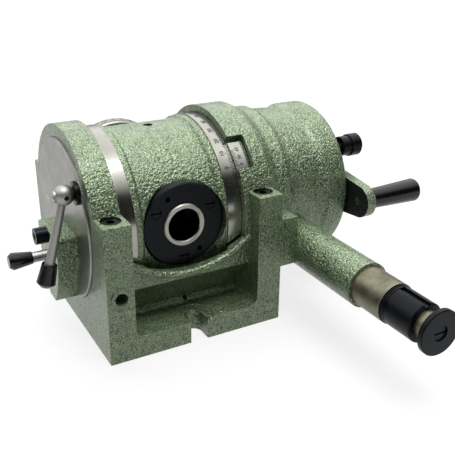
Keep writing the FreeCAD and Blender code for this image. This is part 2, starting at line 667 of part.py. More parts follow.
def make_base():
    base = new_body("base_casting")
    add(base, "XY", 0, s.foot_thickness, rectangle(-half_width, -front_end, half_width, back_end))
    post_inner = half_width - s.post_width
    for low, high in ((-half_width, -post_inner), (post_inner, half_width)):
        add(base, "XY", 0, s.post_height, rectangle(low, -front_end, high, s.post_flat_depth - front_end))
        add(base, "XY", 0, s.post_height, rectangle(low, back_end - s.post_flat_depth, high, back_end))
    for low, high, radius in ((-half_width, left_inner, s.ring_radius),
            (right_inner, half_width, s.right_ring_radius)):
        add(base, "YZ", low, high, rectangle(-s.web_face, 0, s.web_face, s.axis_height))
        add(base, "YZ", low, high, circle(0, s.axis_height, radius))
    add(base, "YZ", left_inner, right_inner, rectangle(-s.web_face, 0, s.web_back, s.web_height))
    lip_centre = s.lip_bottom + s.lip_radius
    half_lip = root(s.lip_radius * s.lip_radius - (lip_centre - s.web_height) * (lip_centre - s.web_height))
    add_lip_bead(base, lip_centre)
    cut(base, "YZ", left_inner, right_inner, circle(0, s.axis_height, s.band_radius + s.cradle_gap))
    half_relief = s.cap_relief_width / 2
    cut(base, "YZ", -half_relief, half_relief, circle(0, s.axis_height, s.cap_relief_radius))
    cut(base, "YZ", -half_width, half_width, circle(0, s.axis_height, ring_bore))
    scoop = outline((-half_lip, s.web_height), (half_lip, s.web_height, s.lip_radius))
    cut(base, "XZ", -front_end, 0, scoop)
    nose_centre = s.nose_scoop_bottom + s.nose_scoop_radius
    cut(base, "XZ", 0, back_end, circle(0, nose_centre, s.nose_scoop_radius))
    cove_back = s.cove_depth - s.web_face
    cut(base, "YZ", -post_inner, post_inner, outline(
        (-front_end, s.foot_thickness), (-front_end, s.cove_top), (-s.web_face, s.cove_top, s.cove_radius),
        (cove_back, s.cove_foot, s.cove_round), (cove_back - s.cove_round, s.foot_thickness)))
    corner = s.foot_thickness + s.foot_round
    for side in (-1, 1):
        add(base, "XZ", -front_end, cove_back - s.cove_round, outline(
            (post_inner * side, s.foot_thickness), (post_inner * side, corner, s.foot_round * side),
            ((post_inner - s.foot_round) * side, s.foot_thickness)))
    cut_slots(base)
    cut_clamp_bores(base)
    boss_x = -post_x
    add(base, "XZ", -front_end - s.side_boss_height, -front_end,
        circle(boss_x, s.side_boss_level, s.side_boss_radius))
    cut(base, "XZ", -front_end - s.side_boss_height, -front_end + s.side_hole_depth,
        circle(boss_x, s.side_boss_level, s.side_hole_radius))
    cut(base, "XZ", cove_back - s.cove_round, cove_back + s.drain_depth,
        circle(s.drain_offset, s.drain_level, s.drain_radius))
    screw_end = half_width + s.lug_width - s.lug_screw_radius - s.lug_screw_length
    for level in LUG_SCREW_LEVELS:
        cut(base, "YZ", screw_end, half_width,
            circle(s.lug_screw_y - front_end, level, s.lug_screw_radius * s.shank_share + s.screw_gap))
    item = new_sketch(base, "XY", s.axis_height, turn=-s.window_start)
    rectangle(right_inner, -s.right_ring_radius - s.window_margin, right_inner + s.window_width,
              -s.vernier_radius + s.vernier_thickness)(item)
    window = feature(base, "Groove", item, Angle=s.window_sweep)
    window.ReferenceAxis = (item, ["H_Axis"])
    window.Reversed = True


def add_lip_bead(base, lip_centre):
    """A half-round bead along the edge of the scoop in the front web."""
    item = new_sketch(base, "YZ")
    bind(item, "AttachmentOffset.Base.y", lip_centre)
    front = -s.web_face - s.lip_height + s.lip_width / 2
    outline((-s.web_face + s.lip_height, -s.lip_radius), (front, -s.lip_radius, -s.lip_width / 2),
            (front, -s.lip_radius - s.lip_width),
            (-s.web_face + s.lip_height, -s.lip_radius - s.lip_width))(item)
    bead = feature(base, "Revolution", item, Angle=s.lip_sweep)
    bead.ReferenceAxis = (item, ["H_Axis"])
    bead.Midplane = True


def cut_slots(base):
    """Clamping slots in the foot, each with a shallow spot face."""
    slot_half = s.slot_width / 2
    for mouth, centre, side in (
            (-front_end, s.slot_depth - slot_half - front_end, slot_half),
            (back_end, back_end - s.slot_depth + slot_half, -slot_half)):
        cut(base, "XY", 0, s.foot_thickness, outline(
            (-slot_half, mouth), (-slot_half, centre, side), (slot_half, centre), (slot_half, mouth)))
        cut(base, "XY", s.foot_thickness - s.slot_spot_depth, s.foot_thickness,
            circle(0, centre, s.slot_spot_radius))


def cut_clamp_bores(base):
    """Bores for the clamp screws in the posts and for the shoes that they press on the journals."""
    head = s.clamp_head_radius + s.clamp_ring_gap
    shank = s.clamp_shank_radius + s.free_gap
    shoe = s.shoe_radius + s.running_gap
    for y in CLAMP_PLACES:
        end = -1 if float(y) < 0 else 1
        near, far = sorted((y + s.shoe_back * end, (s.journal_radius - s.shoe_overlap) * end), key=float)
        for side in (-1, 1):
            x = post_x * side
            cut(base, "XY", clamp_seat, s.post_height, circle(x, y, head))
            cut(base, "XY", s.shoe_level, clamp_seat, circle(x, y, shank))
            cut(base, "XZ", near, far, circle(x, s.shoe_level, shoe))


def make_clamps():
    screws, shoes = [], []
    shank = clamp_seat - s.shoe_level - s.shoe_radius - s.running_gap
    screw = socket_screw(s.clamp_head_radius, s.clamp_head_height, s.clamp_shank_radius, shank)
    journal = Part.makeCylinder(float(s.journal_radius + s.free_gap), float(s.base_width),
                                Vector(-float(half_width), 0, float(s.axis_height)), Vector(1, 0, 0))
    for x_side in (-1, 1):
        for y in CLAMP_PLACES:
            x = float(post_x) * x_side
            y_side = -1 if float(y) < 0 else 1
            screws.append(aim(screw, (0, 0, 1), (x, y, clamp_seat)))
            far = float(y) + float(s.shoe_back) * y_side
            length = abs(far) - float(s.journal_radius - s.shoe_overlap)
            shoe = Part.makeCylinder(float(s.shoe_radius), length, Vector(x, far, float(s.shoe_level)),
                                     Vector(0, -y_side, 0))
            shoes.append(shoe.cut(journal))
    group("clamp_screws", screws)
    group("clamp_shoes", shoes)


def make_vernier():
    plate = new_body("vernier_plate", z=s.axis_height)
    item = new_sketch(plate, "XY", turn=-(s.window_start + s.vernier_gap))
    rectangle(right_inner + s.vernier_gap, -s.vernier_radius,
            right_inner + s.window_width - s.vernier_margin,
              -s.vernier_radius + s.vernier_thickness)(item)
    made = feature(plate, "Revolution", item, Angle=s.vernier_sweep)
    made.ReferenceAxis = (item, ["H_Axis"])
    made.Reversed = True


def make_drum():
    drum = new_body("drum_casting", z=s.axis_height)
    shoulder_left = band_left + s.collar_width
    shoulder_right = band_right - s.collar_width
    taper = s.collar_radius - s.barrel_radius
    turned(drum, "X", outline(
        (drum_left, 0), (drum_left, s.spigot_radius), (band_left, s.spigot_radius),
        (band_left, s.collar_radius), (shoulder_left, s.collar_radius),
        (shoulder_left + taper, s.barrel_radius), (shoulder_right - taper, s.barrel_radius),
        (shoulder_right, s.collar_radius), (band_right, s.collar_radius),
        (band_right, s.spigot_radius), (drum_right, s.spigot_radius), (drum_right, 0)))
    add(drum, "XZ", 0, s.nose_boss_face, circle(0, s.spindle_rise, s.nose_boss_radius))
    rise = s.spindle_rise
    cut(drum, "XZ", -s.collar_radius, cap_inner, circle(0, rise, s.cap_radius + s.cap_gap))
    cut(drum, "XZ", s.nose_boss_face, s.collar_radius, circle(0, rise, s.nose_boss_radius))
    cut(drum, "XZ", cap_inner, bearing_front, circle(0, rise, rear_bearing_radius))
    cut(drum, "XZ", bearing_front, 0, circle(0, rise, s.bore_clearance_radius))
    chamber = s.wheel_centre - s.wheel_width / 2 - s.wheel_gap
    cut(drum, "XZ", chamber, s.carrier_start, circle(0, rise, s.wheel_radius + s.wheel_gap))
    cut(drum, "XZ", s.carrier_start, s.nose_boss_face, circle(0, rise, s.carrier_radius))
    worm_y = s.wheel_centre
    worm_z = worm_level - s.axis_height
    cut(drum, "YZ", drum_left, drum_right, circle(worm_y, worm_z, s.worm_tunnel_radius))
    gear_space = s.pair_gear_radius + s.gear_chamber_gap
    chamber_start = drum_right - s.gear_chamber_depth
    cut(drum, "YZ", chamber_start, drum_right, circle(worm_y, worm_z, gear_space))
    cut(drum, "YZ", chamber_start, drum_right, circle(0, 0, gear_space))
    cut(drum, "XY", s.oil_hole_bottom - s.axis_height, s.collar_radius, circle(0, 0, s.oil_hole_radius))
    screw_end = -s.cap_face + s.cap_screw_sink + s.cap_screw_length
    shank = s.cap_screw_radius * s.shank_share + s.screw_gap
    for angle in CAP_SCREW_ANGLES:
        cut(drum, "XZ", cap_inner, screw_end, circle(
            s.cap_screw_circle * cosine(angle), rise + s.cap_screw_circle * sine(angle), shank))
    shank = s.carrier_screw_radius * s.shank_share + s.screw_gap
    for angle in carrier_screw_angles:
        cut(drum, "XZ", s.nose_boss_face - s.carrier_screw_length, s.nose_boss_face, circle(
            carrier_screw_circle * cosine(angle), rise + carrier_screw_circle * sine(angle), shank))


def make_bands():
    level = s.axis_height
    ring_x("plain_band", 0, 0, level, drum_left, band_left, s.spigot_radius, s.band_radius)
    ring_x("degree_band", 0, 0, level, band_right, drum_right, s.spigot_radius, s.band_radius)


def make_journals():
    left = new_body("left_journal_disc", z=s.axis_height)
    edge = s.disc_edge
    turned(left, "X", outline(
        (disc_face, 0), (disc_face, s.journal_radius - edge), (disc_face + edge, s.journal_radius),
        (drum_left, s.journal_radius), (drum_left, 0)))
    worm_z = worm_level - s.axis_height
    cut(left, "YZ", disc_face, drum_left, circle(s.wheel_centre, worm_z, bush_radius))
    cut(left, "YZ", disc_face, drum_left,
        circle(s.lock_y, s.lock_level - s.axis_height, s.lock_stud_radius + s.running_gap))
    cut(left, "YZ", disc_face, disc_face + s.pull_bore_depth,
        circle(s.pull_y, s.pull_level - s.axis_height, s.pull_rod_radius + s.running_gap))
    for side in (-1, 1):
        cut(left, "YZ", disc_face, disc_face + s.plug_length + s.plug_head,
            circle(s.plug_y * side, s.plug_level - s.axis_height, s.plug_radius))
    right = new_body("right_journal", z=s.axis_height)
    turned(right, "X", rectangle(drum_right, crank_bore + s.bush_wall, half_width - s.free_gap,
            s.journal_radius))
    cut(right, "YZ", drum_right, drum_right + s.worm_bush_length,
            circle(s.wheel_centre, worm_z, bush_radius))
    bushes = []
    for start, end in ((disc_face, drum_left), (drum_right, drum_right + s.worm_bush_length)):
        axis = (Vector(float(start), float(s.wheel_centre), float(worm_level)), Vector(1, 0, 0))
        tube = Part.makeCylinder(float(bush_radius), float(end - start), *axis)
        bore = Part.makeCylinder(float(s.worm_shaft_radius + s.running_gap), float(end - start), *axis)
        bushes.append(tube.cut(bore))
    group("worm_bushes", bushes)
    ring_x("crank_shaft_bush", 0, 0, s.axis_height, drum_right, half_width - s.free_gap,
           crank_bore, crank_bore + s.bush_wall)


def make_worm_end():
    block = new_body("worm_end_block")
    c = s.block_centre
    wide, foot = s.block_half_width, s.block_foot_half_width
    corner = s.block_corner
    add(block, "YZ", block_face, disc_face, outline(
        (c - foot, s.block_bottom, s.block_side_radius),
        (c - wide, s.block_shoulder), (c - wide, s.block_top - corner, corner),
        (c - wide + corner, s.block_top), (c + wide - corner, s.block_top, corner),
        (c + wide, s.block_top - corner), (c + wide, s.block_shoulder, s.block_side_radius),
        (c + foot, s.block_bottom)))
    cut(block, "YZ", block_face + s.worm_end_wall, disc_face,
        circle(s.wheel_centre, worm_level, s.worm_shaft_radius + s.worm_end_gap))
    cut(block, "YZ", block_face, disc_face,
        circle(s.pull_y, s.pull_level, s.pull_rod_radius + s.running_gap))
    shank = s.clamp_shank_radius
    screw = socket_screw(s.thrust_screw_radius, s.thrust_head_length, shank, s.thrust_screw_length)
    group("thrust_screw", [aim(screw, (-1, 0, 0), (block_face, s.thrust_screw_y, s.thrust_screw_level))])
    cut(block, "YZ", block_face, block_face + s.thrust_screw_length,
        circle(s.thrust_screw_y, s.thrust_screw_level, shank))
    plug = slotted_screw(s.plug_radius, s.plug_head, s.plug_length)
    plugs = []
    for side in (-1, 1):
        plugs.append(aim(plug, (-1, 0, 0), (disc_face + s.plug_head, s.plug_y * side, s.plug_level)))
    group("brass_plugs", plugs)


def make_pull_pin():
    rod_end = block_face - s.pull_rod_reach
    tip = rod_end - s.pull_grip_length
    radius = s.pull_rod_radius
    rod = new_body("pull_pin_rod", y=s.pull_y, z=s.pull_level)
    turned(rod, "X", rectangle(tip, 0, disc_face + s.pull_travel, radius))
    grip = new_body("pull_pin_grip", y=s.pull_y, z=s.pull_level)
    turned(grip, "X", outline(
        (rod_end, radius), (rod_end, s.pull_grip_small), (tip + s.grip_tip, s.pull_grip_radius),
        (tip, s.pull_grip_small), (tip, radius)))


def make_lock_lever():
    """Ball lever: the stud runs along X, the rod leans away from the disc."""
    y, z = s.lock_y, s.lock_level
    centre = disc_face - s.lock_ball_reach
    ball = s.lock_ball_radius
    stud = s.lock_stud_radius
    flat = root(ball * ball - stud * stud)
    hub = new_body("lock_ball_hub", x=centre, y=y, z=z)
    turned(hub, "X", outline((-flat, 0), (-flat, stud, ball), (flat, stud), (flat, 0)))
    cut(hub, "XZ", -ball, -ball + s.lock_ball_hole_depth, circle(0, 0, s.lock_ball_hole))
    bolt = new_body("lock_stud", y=y, z=z)
    seat = disc_face - s.free_gap
    turned(bolt, "X", outline(
        (centre + flat, 0), (centre + flat, stud), (seat - s.lock_collar_width, s.lock_collar_radius),
        (seat, s.lock_collar_radius), (seat, stud), (drum_left, stud), (drum_left, 0)))
    cap = new_body("lock_stud_end", y=y, z=z)
    cap_start = centre - flat - s.lock_cap_length
    turned(cap, "X", rectangle(cap_start, 0, centre - flat, stud))
    slot = s.lock_cap_slot
    cut(cap, "YZ", cap_start, cap_start + s.lock_cap_length / 2, rectangle(-stud, -slot, stud, slot))
    start = -s.lock_rod_length
    end = start - s.lock_grip_length
    hollow = ball + s.running_gap
    rod = s.lock_rod_radius
    small, large = s.lock_grip_small, s.lock_grip_large
    for label, draw in (
            ("lock_lever_rod", outline(
                (0, start), (s.lock_rod_end_radius, start),
                (rod, -root(hollow * hollow - rod * rod), hollow),
                (0, -hollow))),
            ("lock_lever_grip", outline(
                (0, start), (small, start), (large, end + s.grip_tip), (large - s.grip_tip, end),
                (0, end)))):
        piece = new_body(label, x=centre, y=y, z=z)
        piece.Placement.Rotation = FreeCAD.Rotation(Vector(0, 1, 0), s.lock_rod_lean.value)
        bind(piece, "Placement.Rotation.Angle", s.lock_rod_lean)
        turned(piece, "Z", draw)


def make_rear_cap():
    cap = new_body("rear_bearing_cap", z=spindle_level)
    bore = s.spindle_end_radius + s.free_gap
    edge = s.cap_chamfer
    turned(cap, "Y", outline(
        (bore, -s.cap_face), (s.cap_radius - edge, -s.cap_face), (s.cap_radius, -s.cap_face + edge),
        (s.cap_radius, cap_inner), (rear_bearing_radius, cap_inner), (rear_bearing_radius, bearing_rear),
        (bore, bearing_rear)))
    seat = -s.cap_face + s.cap_screw_sink
    screw = slotted_screw(s.cap_screw_radius, s.cap_screw_sink - s.cap_screw_gap, s.cap_screw_length)
    screws = []
    for angle in CAP_SCREW_ANGLES:
        x, z = s.cap_screw_circle * cosine(angle), s.cap_screw_circle * sine(angle)
        cut(cap, "XZ", -s.cap_face, seat, circle(x, z, s.cap_screw_radius + s.cap_screw_gap))
        cut(cap, "XZ", seat, cap_inner, circle(x, z, s.cap_screw_radius * s.shank_share + s.screw_gap))
        screws.append(aim(screw, (0, -1, 0), (x, seat, spindle_level + z)))
    for angle in CAP_HOLE_ANGLES:
        x, z = s.cap_screw_circle * cosine(angle), s.cap_screw_circle * sine(angle)
        cut(cap, "XZ", -s.cap_face, -s.cap_face + s.cap_hole_depth, circle(x, z, s.cap_hole_radius))
    group("cap_screws", screws)


def make_bearings():
    outer_rings, inner_rings, rollers = [], [], []
    along = Vector(0, 1, 0)
    wide = float(s.bearing_width)
    race = float(s.race_thickness)
    count = round(float(s.roller_count))
    for start, bore in ((bearing_rear, s.spindle_end_radius),
            (s.nose_bearing_start, s.spindle_nose_radius)):
        base = Vector(0, float(start), float(spindle_level))
        bore = float(bore)
        outside = bore + float(s.bearing_depth)
        for rings, low, high in ((outer_rings, outside - race, outside), (inner_rings, bore, bore + race)):
            tube = Part.makeCylinder(high, wide, base, along)
            rings.append(tube.cut(Part.makeCylinder(low, wide, base, along)))
        roller = (outside - bore) / 2 - race - float(s.running_gap)
        pitch = (outside + bore) / 2
        for number in range(count):
            angle = 2 * math.pi * number / count
            place = base + Vector(pitch * math.cos(angle), race, pitch * math.sin(angle))
            rollers.append(Part.makeCylinder(roller, wide - 2 * race, place, along))
    group("bearing_outer_rings", outer_rings)
    group("bearing_inner_rings", inner_rings)
    group("bearing_rollers", rollers)


def make_carrier():
    carrier = new_body("nose_bearing_carrier", z=spindle_level)
    face = s.nose_boss_face
    front = face + s.carrier_flange_thickness
    stop = s.nose_bearing_start
    turned(carrier, "Y", outline(
        (s.bore_clearance_radius, s.carrier_start), (s.carrier_radius, s.carrier_start),
        (s.carrier_radius, face), (s.carrier_flange_radius, face), (s.carrier_flange_radius, front),
        (nose_bearing_radius, front), (nose_bearing_radius, stop), (s.bore_clearance_radius, stop)))
    head = s.carrier_flange_thickness * 0.6
    seat = front - head
    screw = slotted_screw(s.carrier_screw_radius, head, s.carrier_screw_length)
    screws = []
    for angle in carrier_screw_angles:
        x, z = carrier_screw_circle * cosine(angle), carrier_screw_circle * sine(angle)
        cut(carrier, "XZ", seat, front, circle(x, z, s.carrier_screw_radius + s.screw_gap))
        cut(carrier, "XZ", face, seat, circle(x, z, s.carrier_screw_radius * s.shank_share + s.screw_gap))
        screws.append(aim(screw, (0, 1, 0), (x, seat, spindle_level + z)))
    group("carrier_screws", screws)


def make_spindle():
    spindle = new_body("spindle", z=spindle_level)
    rear = -s.spindle_end
    wheel_start = s.wheel_centre - s.wheel_width / 2
    wheel_end = s.wheel_centre + s.wheel_width / 2
    flange = s.nose_boss_face + s.carrier_flange_thickness + s.free_gap
    nose = s.dial_back + s.dial_thickness
    step = rear + s.spindle_bore_depth
    through = s.spindle_through_radius
    edge = 1
    turned(spindle, "Y", outline(
        (s.spindle_bore_radius + edge, rear), (s.spindle_end_radius - edge, rear),
        (s.spindle_end_radius, rear + edge), (s.spindle_end_radius, bearing_front),
        (s.spindle_seat_radius, bearing_front), (s.spindle_seat_radius, s.nose_bearing_start),
        (s.spindle_nose_radius, s.nose_bearing_start), (s.spindle_nose_radius, flange),
        (s.nose_flange_radius, flange), (s.nose_flange_radius, nose),
        (s.nose_thread_radius, nose), (s.nose_thread_radius, s.nose_end - edge),
        (s.nose_thread_radius - edge, s.nose_end), (s.taper_mouth_radius, s.nose_end),
        (through, s.nose_end - s.taper_depth), (through, step),
        (s.spindle_bore_radius, step), (s.spindle_bore_radius, rear + edge)))
    dial = new_body("indexing_dial", z=spindle_level)
    edge = s.dial_edge
    back = s.dial_back
    turned(dial, "Y", outline(
        (s.nose_flange_radius, back), (s.dial_radius - edge, back), (s.dial_radius, back + edge),
        (s.dial_radius, nose - edge), (s.dial_radius - edge, nose), (s.nose_flange_radius, nose)))
    hole = cut(dial, "XZ", nose - s.dial_hole_depth, nose,
            circle(0, s.dial_hole_circle, s.dial_hole_radius))
    repeated(dial, hole, "Y", s.dial_notch_count)
    toothed_y("worm_wheel", 0, 0, spindle_level, wheel_start, wheel_end, s.spindle_seat_radius,
              s.wheel_radius, s.wheel_teeth)


def tooth_gap(radius, count, depth):
    """Outline of the space between two teeth, pointing up from the axis."""
    half = radius * math.pi / count * 0.5
    out = radius + s.cut_over
    foot = radius - depth
    floor = half * s.tooth_gap_share
    return outline((-floor, foot), (floor, foot), (half, out), (-half, out))


def toothed(label, plane, axis, x, y, z, start, end, bore, radius, count):
    body = new_body(label, x, y, z)
    add(body, plane, start, end, circle(0, 0, radius), circle(0, 0, bore))
    gap = cut(body, plane, start, end, tooth_gap(radius, count, s.tooth_depth))
    repeated(body, gap, axis, count)
    return body


def toothed_x(label, x, y, z, start, end, bore, radius, count):
    return toothed(label, "YZ", "X", x, y, z, start, end, bore, radius, count)


def toothed_y(label, x, y, z, start, end, bore, radius, count):
    return toothed(label, "XZ", "Y", x, y, z, start, end, bore, radius, count)


def make_worm():
    worm = new_body("worm_shaft", y=s.wheel_centre, z=worm_level)
    shaft = s.worm_shaft_radius
    half = s.worm_length / 2
    start = block_face + s.worm_end_wall + s.end_gap
    end = drum_right + s.worm_bush_length - s.end_gap
    turned(worm, "X", outline(
        (start, 0), (start, shaft), (-half - s.worm_runout, shaft), (-half, s.worm_radius),
        (half, s.worm_radius), (half + s.worm_runout, shaft), (end, shaft), (end, 0)))
    turns = int(float(s.worm_length) / float(s.worm_pitch))
    for number in range(turns):
        x = (number + 0.5 - turns / 2) * s.worm_pitch
        deep = s.worm_radius - s.tooth_depth
        out = s.worm_radius + s.cut_over
        turned(worm, "X", outline(
            (x - s.thread_root, deep), (x + s.thread_root, deep), (x + s.thread_mouth, out),
            (x - s.thread_mouth, out)),
            kind="Groove")
    gear_end = drum_right - s.gear_chamber_gap
    gear_start = gear_end - s.pair_gear_width
    toothed_x("worm_spur_gear", 0, s.wheel_centre, worm_level, gear_start, gear_end,
              shaft, s.pair_gear_radius, s.pair_gear_teeth)
    toothed_x("crank_spur_gear", 0, 0, s.axis_height, gear_start, gear_end,
              s.crank_shaft_radius - s.shaft_step, s.pair_gear_radius, s.pair_gear_teeth)


def make_housing():
    housing = new_body("gear_housing", z=s.axis_height)
    flange_end = half_width + s.flange_width
    groove = s.seam_width / 2
    wall_end = half_width + s.end_wall
    chamber_end = s.bowl_floor - s.floor_thickness
    inner = s.bowl_radius - s.bowl_wall
    rim = s.rim_face
    hub = crank_bore + s.bush_wall
    sleeve = s.plate_sleeve_radius + s.running_gap
    turned(housing, "X", outline(
        (half_width, hub), (half_width, s.ring_radius - groove),
        (half_width + groove, s.ring_radius, s.shoulder_radius),
        (half_width + s.shoulder_middle, s.shoulder_top, -s.shoulder_radius),
        (half_width + s.shoulder_end, s.flange_radius), (flange_end, s.flange_radius),
        (flange_end, s.flange_radius - groove, -s.neck_fillet),
        (s.neck_start, s.neck_start_radius), (s.neck_end, s.neck_radius, -s.neck_fillet),
        (s.neck_end + s.bowl_rise, s.bowl_radius), (s.bowl_start, s.bowl_radius),
        (s.bowl_start + groove, s.bowl_radius - groove), (s.bowl_start + s.seam_width, s.bowl_radius),
        (rim - s.rim_round, s.bowl_radius, s.rim_round), (rim, s.bowl_radius - s.rim_round),
        (rim, inner), (s.bowl_floor, inner), (s.bowl_floor, sleeve),
        (chamber_end, sleeve), (chamber_end, s.chamber_radius), (wall_end, s.chamber_radius),
        (wall_end, hub)))
    level = s.axis_height
    add(housing, "YZ", half_width, half_width + s.lug_width,
        rectangle(-front_end, s.lug_bottom - level, -s.lug_root, s.lug_top - level))
    tube_z = s.tube_level - level
    add(housing, "XZ", -s.tube_end, -s.tube_root, circle(s.tube_x, tube_z, s.tube_radius))
    boss_end = s.tube_root + s.inner_boss_length / 2
    boss_start = s.tube_root - s.inner_boss_length / 2
    add(housing, "XZ", boss_start, boss_end, circle(s.tube_x, tube_z, s.inner_boss_radius))
    cut(housing, "XZ", -s.tube_end, -s.tube_end + s.sleeve_in,
        circle(s.tube_x, tube_z, s.sleeve_radius))
    bore = s.input_radius + s.input_bore_gap
    lowest = bore - tube_z
    bore_end = -root(s.chamber_radius * s.chamber_radius - lowest * lowest)
    cut(housing, "XZ", -s.tube_end + s.sleeve_in, bore_end, circle(s.tube_x, tube_z, bore))
    cut(housing, "XZ", boss_start, boss_start + s.input_journal_length + s.free_gap,
        circle(s.tube_x, tube_z, s.input_journal_radius + s.running_gap))
    ring_x("housing_bush", 0, 0, s.axis_height, half_width, wall_end, crank_bore, hub)
    face = half_width + s.lug_width
    head = s.lug_screw_radius
    screw = socket_screw(head, head, head * s.shank_share, s.lug_screw_length)
    screws = []
    y = s.lug_screw_y - front_end
    for height in LUG_SCREW_LEVELS:
        z = height - level
        cut(housing, "YZ", face - head, face, circle(y, z, head + s.free_gap))
        cut(housing, "YZ", half_width, face - head, circle(y, z, head * s.shank_share + s.screw_gap))
        screws.append(aim(screw, (1, 0, 0), (face - head, y, height)))
    group("lug_screws", screws)


def make_input():
    x, z = s.tube_x, s.tube_level
    sleeve_end = -s.tube_end - s.sleeve_out
    ring_y("input_sleeve", x, 0, z, sleeve_end, -s.tube_end + s.sleeve_in,
           s.input_radius + s.running_gap, s.sleeve_radius)
    ring_end = sleeve_end - s.free_gap - s.ring_width
    ring = new_body("grooved_ring", x=x, z=z)
    outer = s.change_collar_radius
    ring_start = sleeve_end - s.free_gap
    middle = (ring_start + ring_end) / 2
    groove = s.ring_groove_half
    turned(ring, "Y", outline(
        (s.input_radius, ring_end), (outer, ring_end), (outer, middle - groove),
        (outer - s.fine_edge, middle),
        (outer, middle + groove), (outer, ring_start), (s.input_radius, ring_start)))
    collar_end = ring_end - s.change_collar_width
    key_half = s.key_width / 2
    key_top = s.input_radius + s.key_height
    edge = s.change_collar_edge
    collar = new_body("change_gear_collar", x=x, z=z)
    turned(collar, "Y", outline(
        (s.input_radius, ring_end), (outer - edge, ring_end), (outer, ring_end - edge),
        (outer, collar_end + edge), (outer - edge, collar_end), (s.input_radius, collar_end)))
    seat = s.input_radius - s.key_seat
    cut(collar, "XZ", collar_end, ring_end, rectangle(-key_half, seat, key_half, outer + s.cut_over))
    shaft = new_body("input_shaft", x=x, z=z)
    shaft_end = collar_end - s.bare_shaft_length
    journal_start = s.tube_root - s.inner_boss_length / 2
    turned(shaft, "Y", rectangle(0, shaft_end, s.input_radius, journal_start - s.end_gap))
    add(shaft, "XZ", journal_start - s.end_gap, journal_start + s.input_journal_length,
        circle(0, 0, s.input_journal_radius))
    cut(shaft, "XZ", collar_end, ring_end, rectangle(-key_half, seat, key_half, key_top))
    key = new_body("input_key", x=x, z=z)
    add(key, "XZ", collar_end, ring_end - s.end_gap, rectangle(-key_half, seat, key_half, key_top))
    washer = new_body("end_washer", x=x, z=z)
    washer_end = shaft_end - s.washer_thickness
    edge = s.washer_edge
    turned(washer, "Y", outline(
        (0, washer_end), (s.washer_radius - edge, washer_end), (s.washer_radius, washer_end + edge),
        (s.washer_radius, shaft_end - edge), (s.washer_radius - edge, shaft_end), (0, shaft_end)))
    seat = washer_end + s.end_screw_sink
    head = s.end_screw_radius
    cut(washer, "XZ", washer_end, seat, circle(0, 0, head + s.free_gap))
    cut(washer, "XZ", seat, shaft_end, circle(0, 0, head * s.shank_share + s.screw_gap))
    screw = slotted_screw(head, s.end_screw_head, shaft_end - seat)
    group("end_screw", [aim(screw, (0, -1, 0), (x, seat, z))])
    half = s.cross_gear_width / 2
    toothed_y("input_cross_gear", x, 0, z, -half, half, s.input_radius, s.cross_gear_radius,
              s.cross_gear_teeth)
    toothed_x("plate_cross_gear", 0, 0, s.axis_height, x - half, x + half, s.plate_sleeve_radius,
              s.cross_gear_radius, s.cross_gear_teeth)


def make_index_plate():
    level = s.axis_height
    sleeve_start = s.tube_x - s.cross_gear_width / 2 - s.plate_sleeve_back
    clip_start = plate_front + s.sector_gap * 3 + s.sector_thickness * 2
    hub_front = clip_start + s.sector_thickness + s.sector_gap * 2
    ring_x("plate_sleeve", 0, 0, level, sleeve_start, hub_front, crank_bore, s.plate_sleeve_radius)
    plate = new_body("index_plate", z=level)
    edge = s.plate_edge
    turned(plate, "X", outline(
        (plate_back, s.plate_sleeve_radius), (plate_back, s.plate_radius - edge),
        (plate_back + edge, s.plate_radius), (plate_front - edge, s.plate_radius),
        (plate_front, s.plate_radius - edge), (plate_front, s.plate_sleeve_radius)))
    for ring, count in ((0, s.outer_hole_count), (1, s.middle_hole_count), (2, s.inner_hole_count)):
        radius = s.hole_circle_radius - ring * s.hole_circle_step
        hole = cut(plate, "YZ", plate_back, plate_front,
                   circle(radius * cosine(s.plunger_angle), radius * sine(s.plunger_angle),
                           s.index_hole_radius))
        repeated(plate, hole, "X", count)
    for label, start, angle in (
            ("sector_arm_fixed", plate_front + s.sector_gap, s.sector_start),
            ("sector_arm_moving", plate_front + s.sector_gap * 2 + s.sector_thickness,
             s.sector_start + s.sector_spread)):
        arm = new_body(label, z=level)
        arm.Placement.Rotation = FreeCAD.Rotation(Vector(1, 0, 0), angle.value)
        bind(arm, "Placement.Rotation.Angle", angle)
        bore = s.plate_sleeve_radius + s.running_gap
        end = start + s.sector_thickness
        add(arm, "YZ", start, end, circle(0, 0, s.sector_hub_radius))
        wide = s.sector_half_width
        root_half = wide * s.sector_taper
        add(arm, "YZ", start, end, outline(
            (0, -root_half), (s.sector_length, 0), (s.sector_length, wide), (0, root_half)))
        cut(arm, "YZ", start, end, circle(0, 0, bore))
    ring_x("sector_spring_clip", 0, 0, level, clip_start, clip_start + s.clip_thickness,
           s.plate_sleeve_radius, s.sector_hub_radius - s.clip_inset)


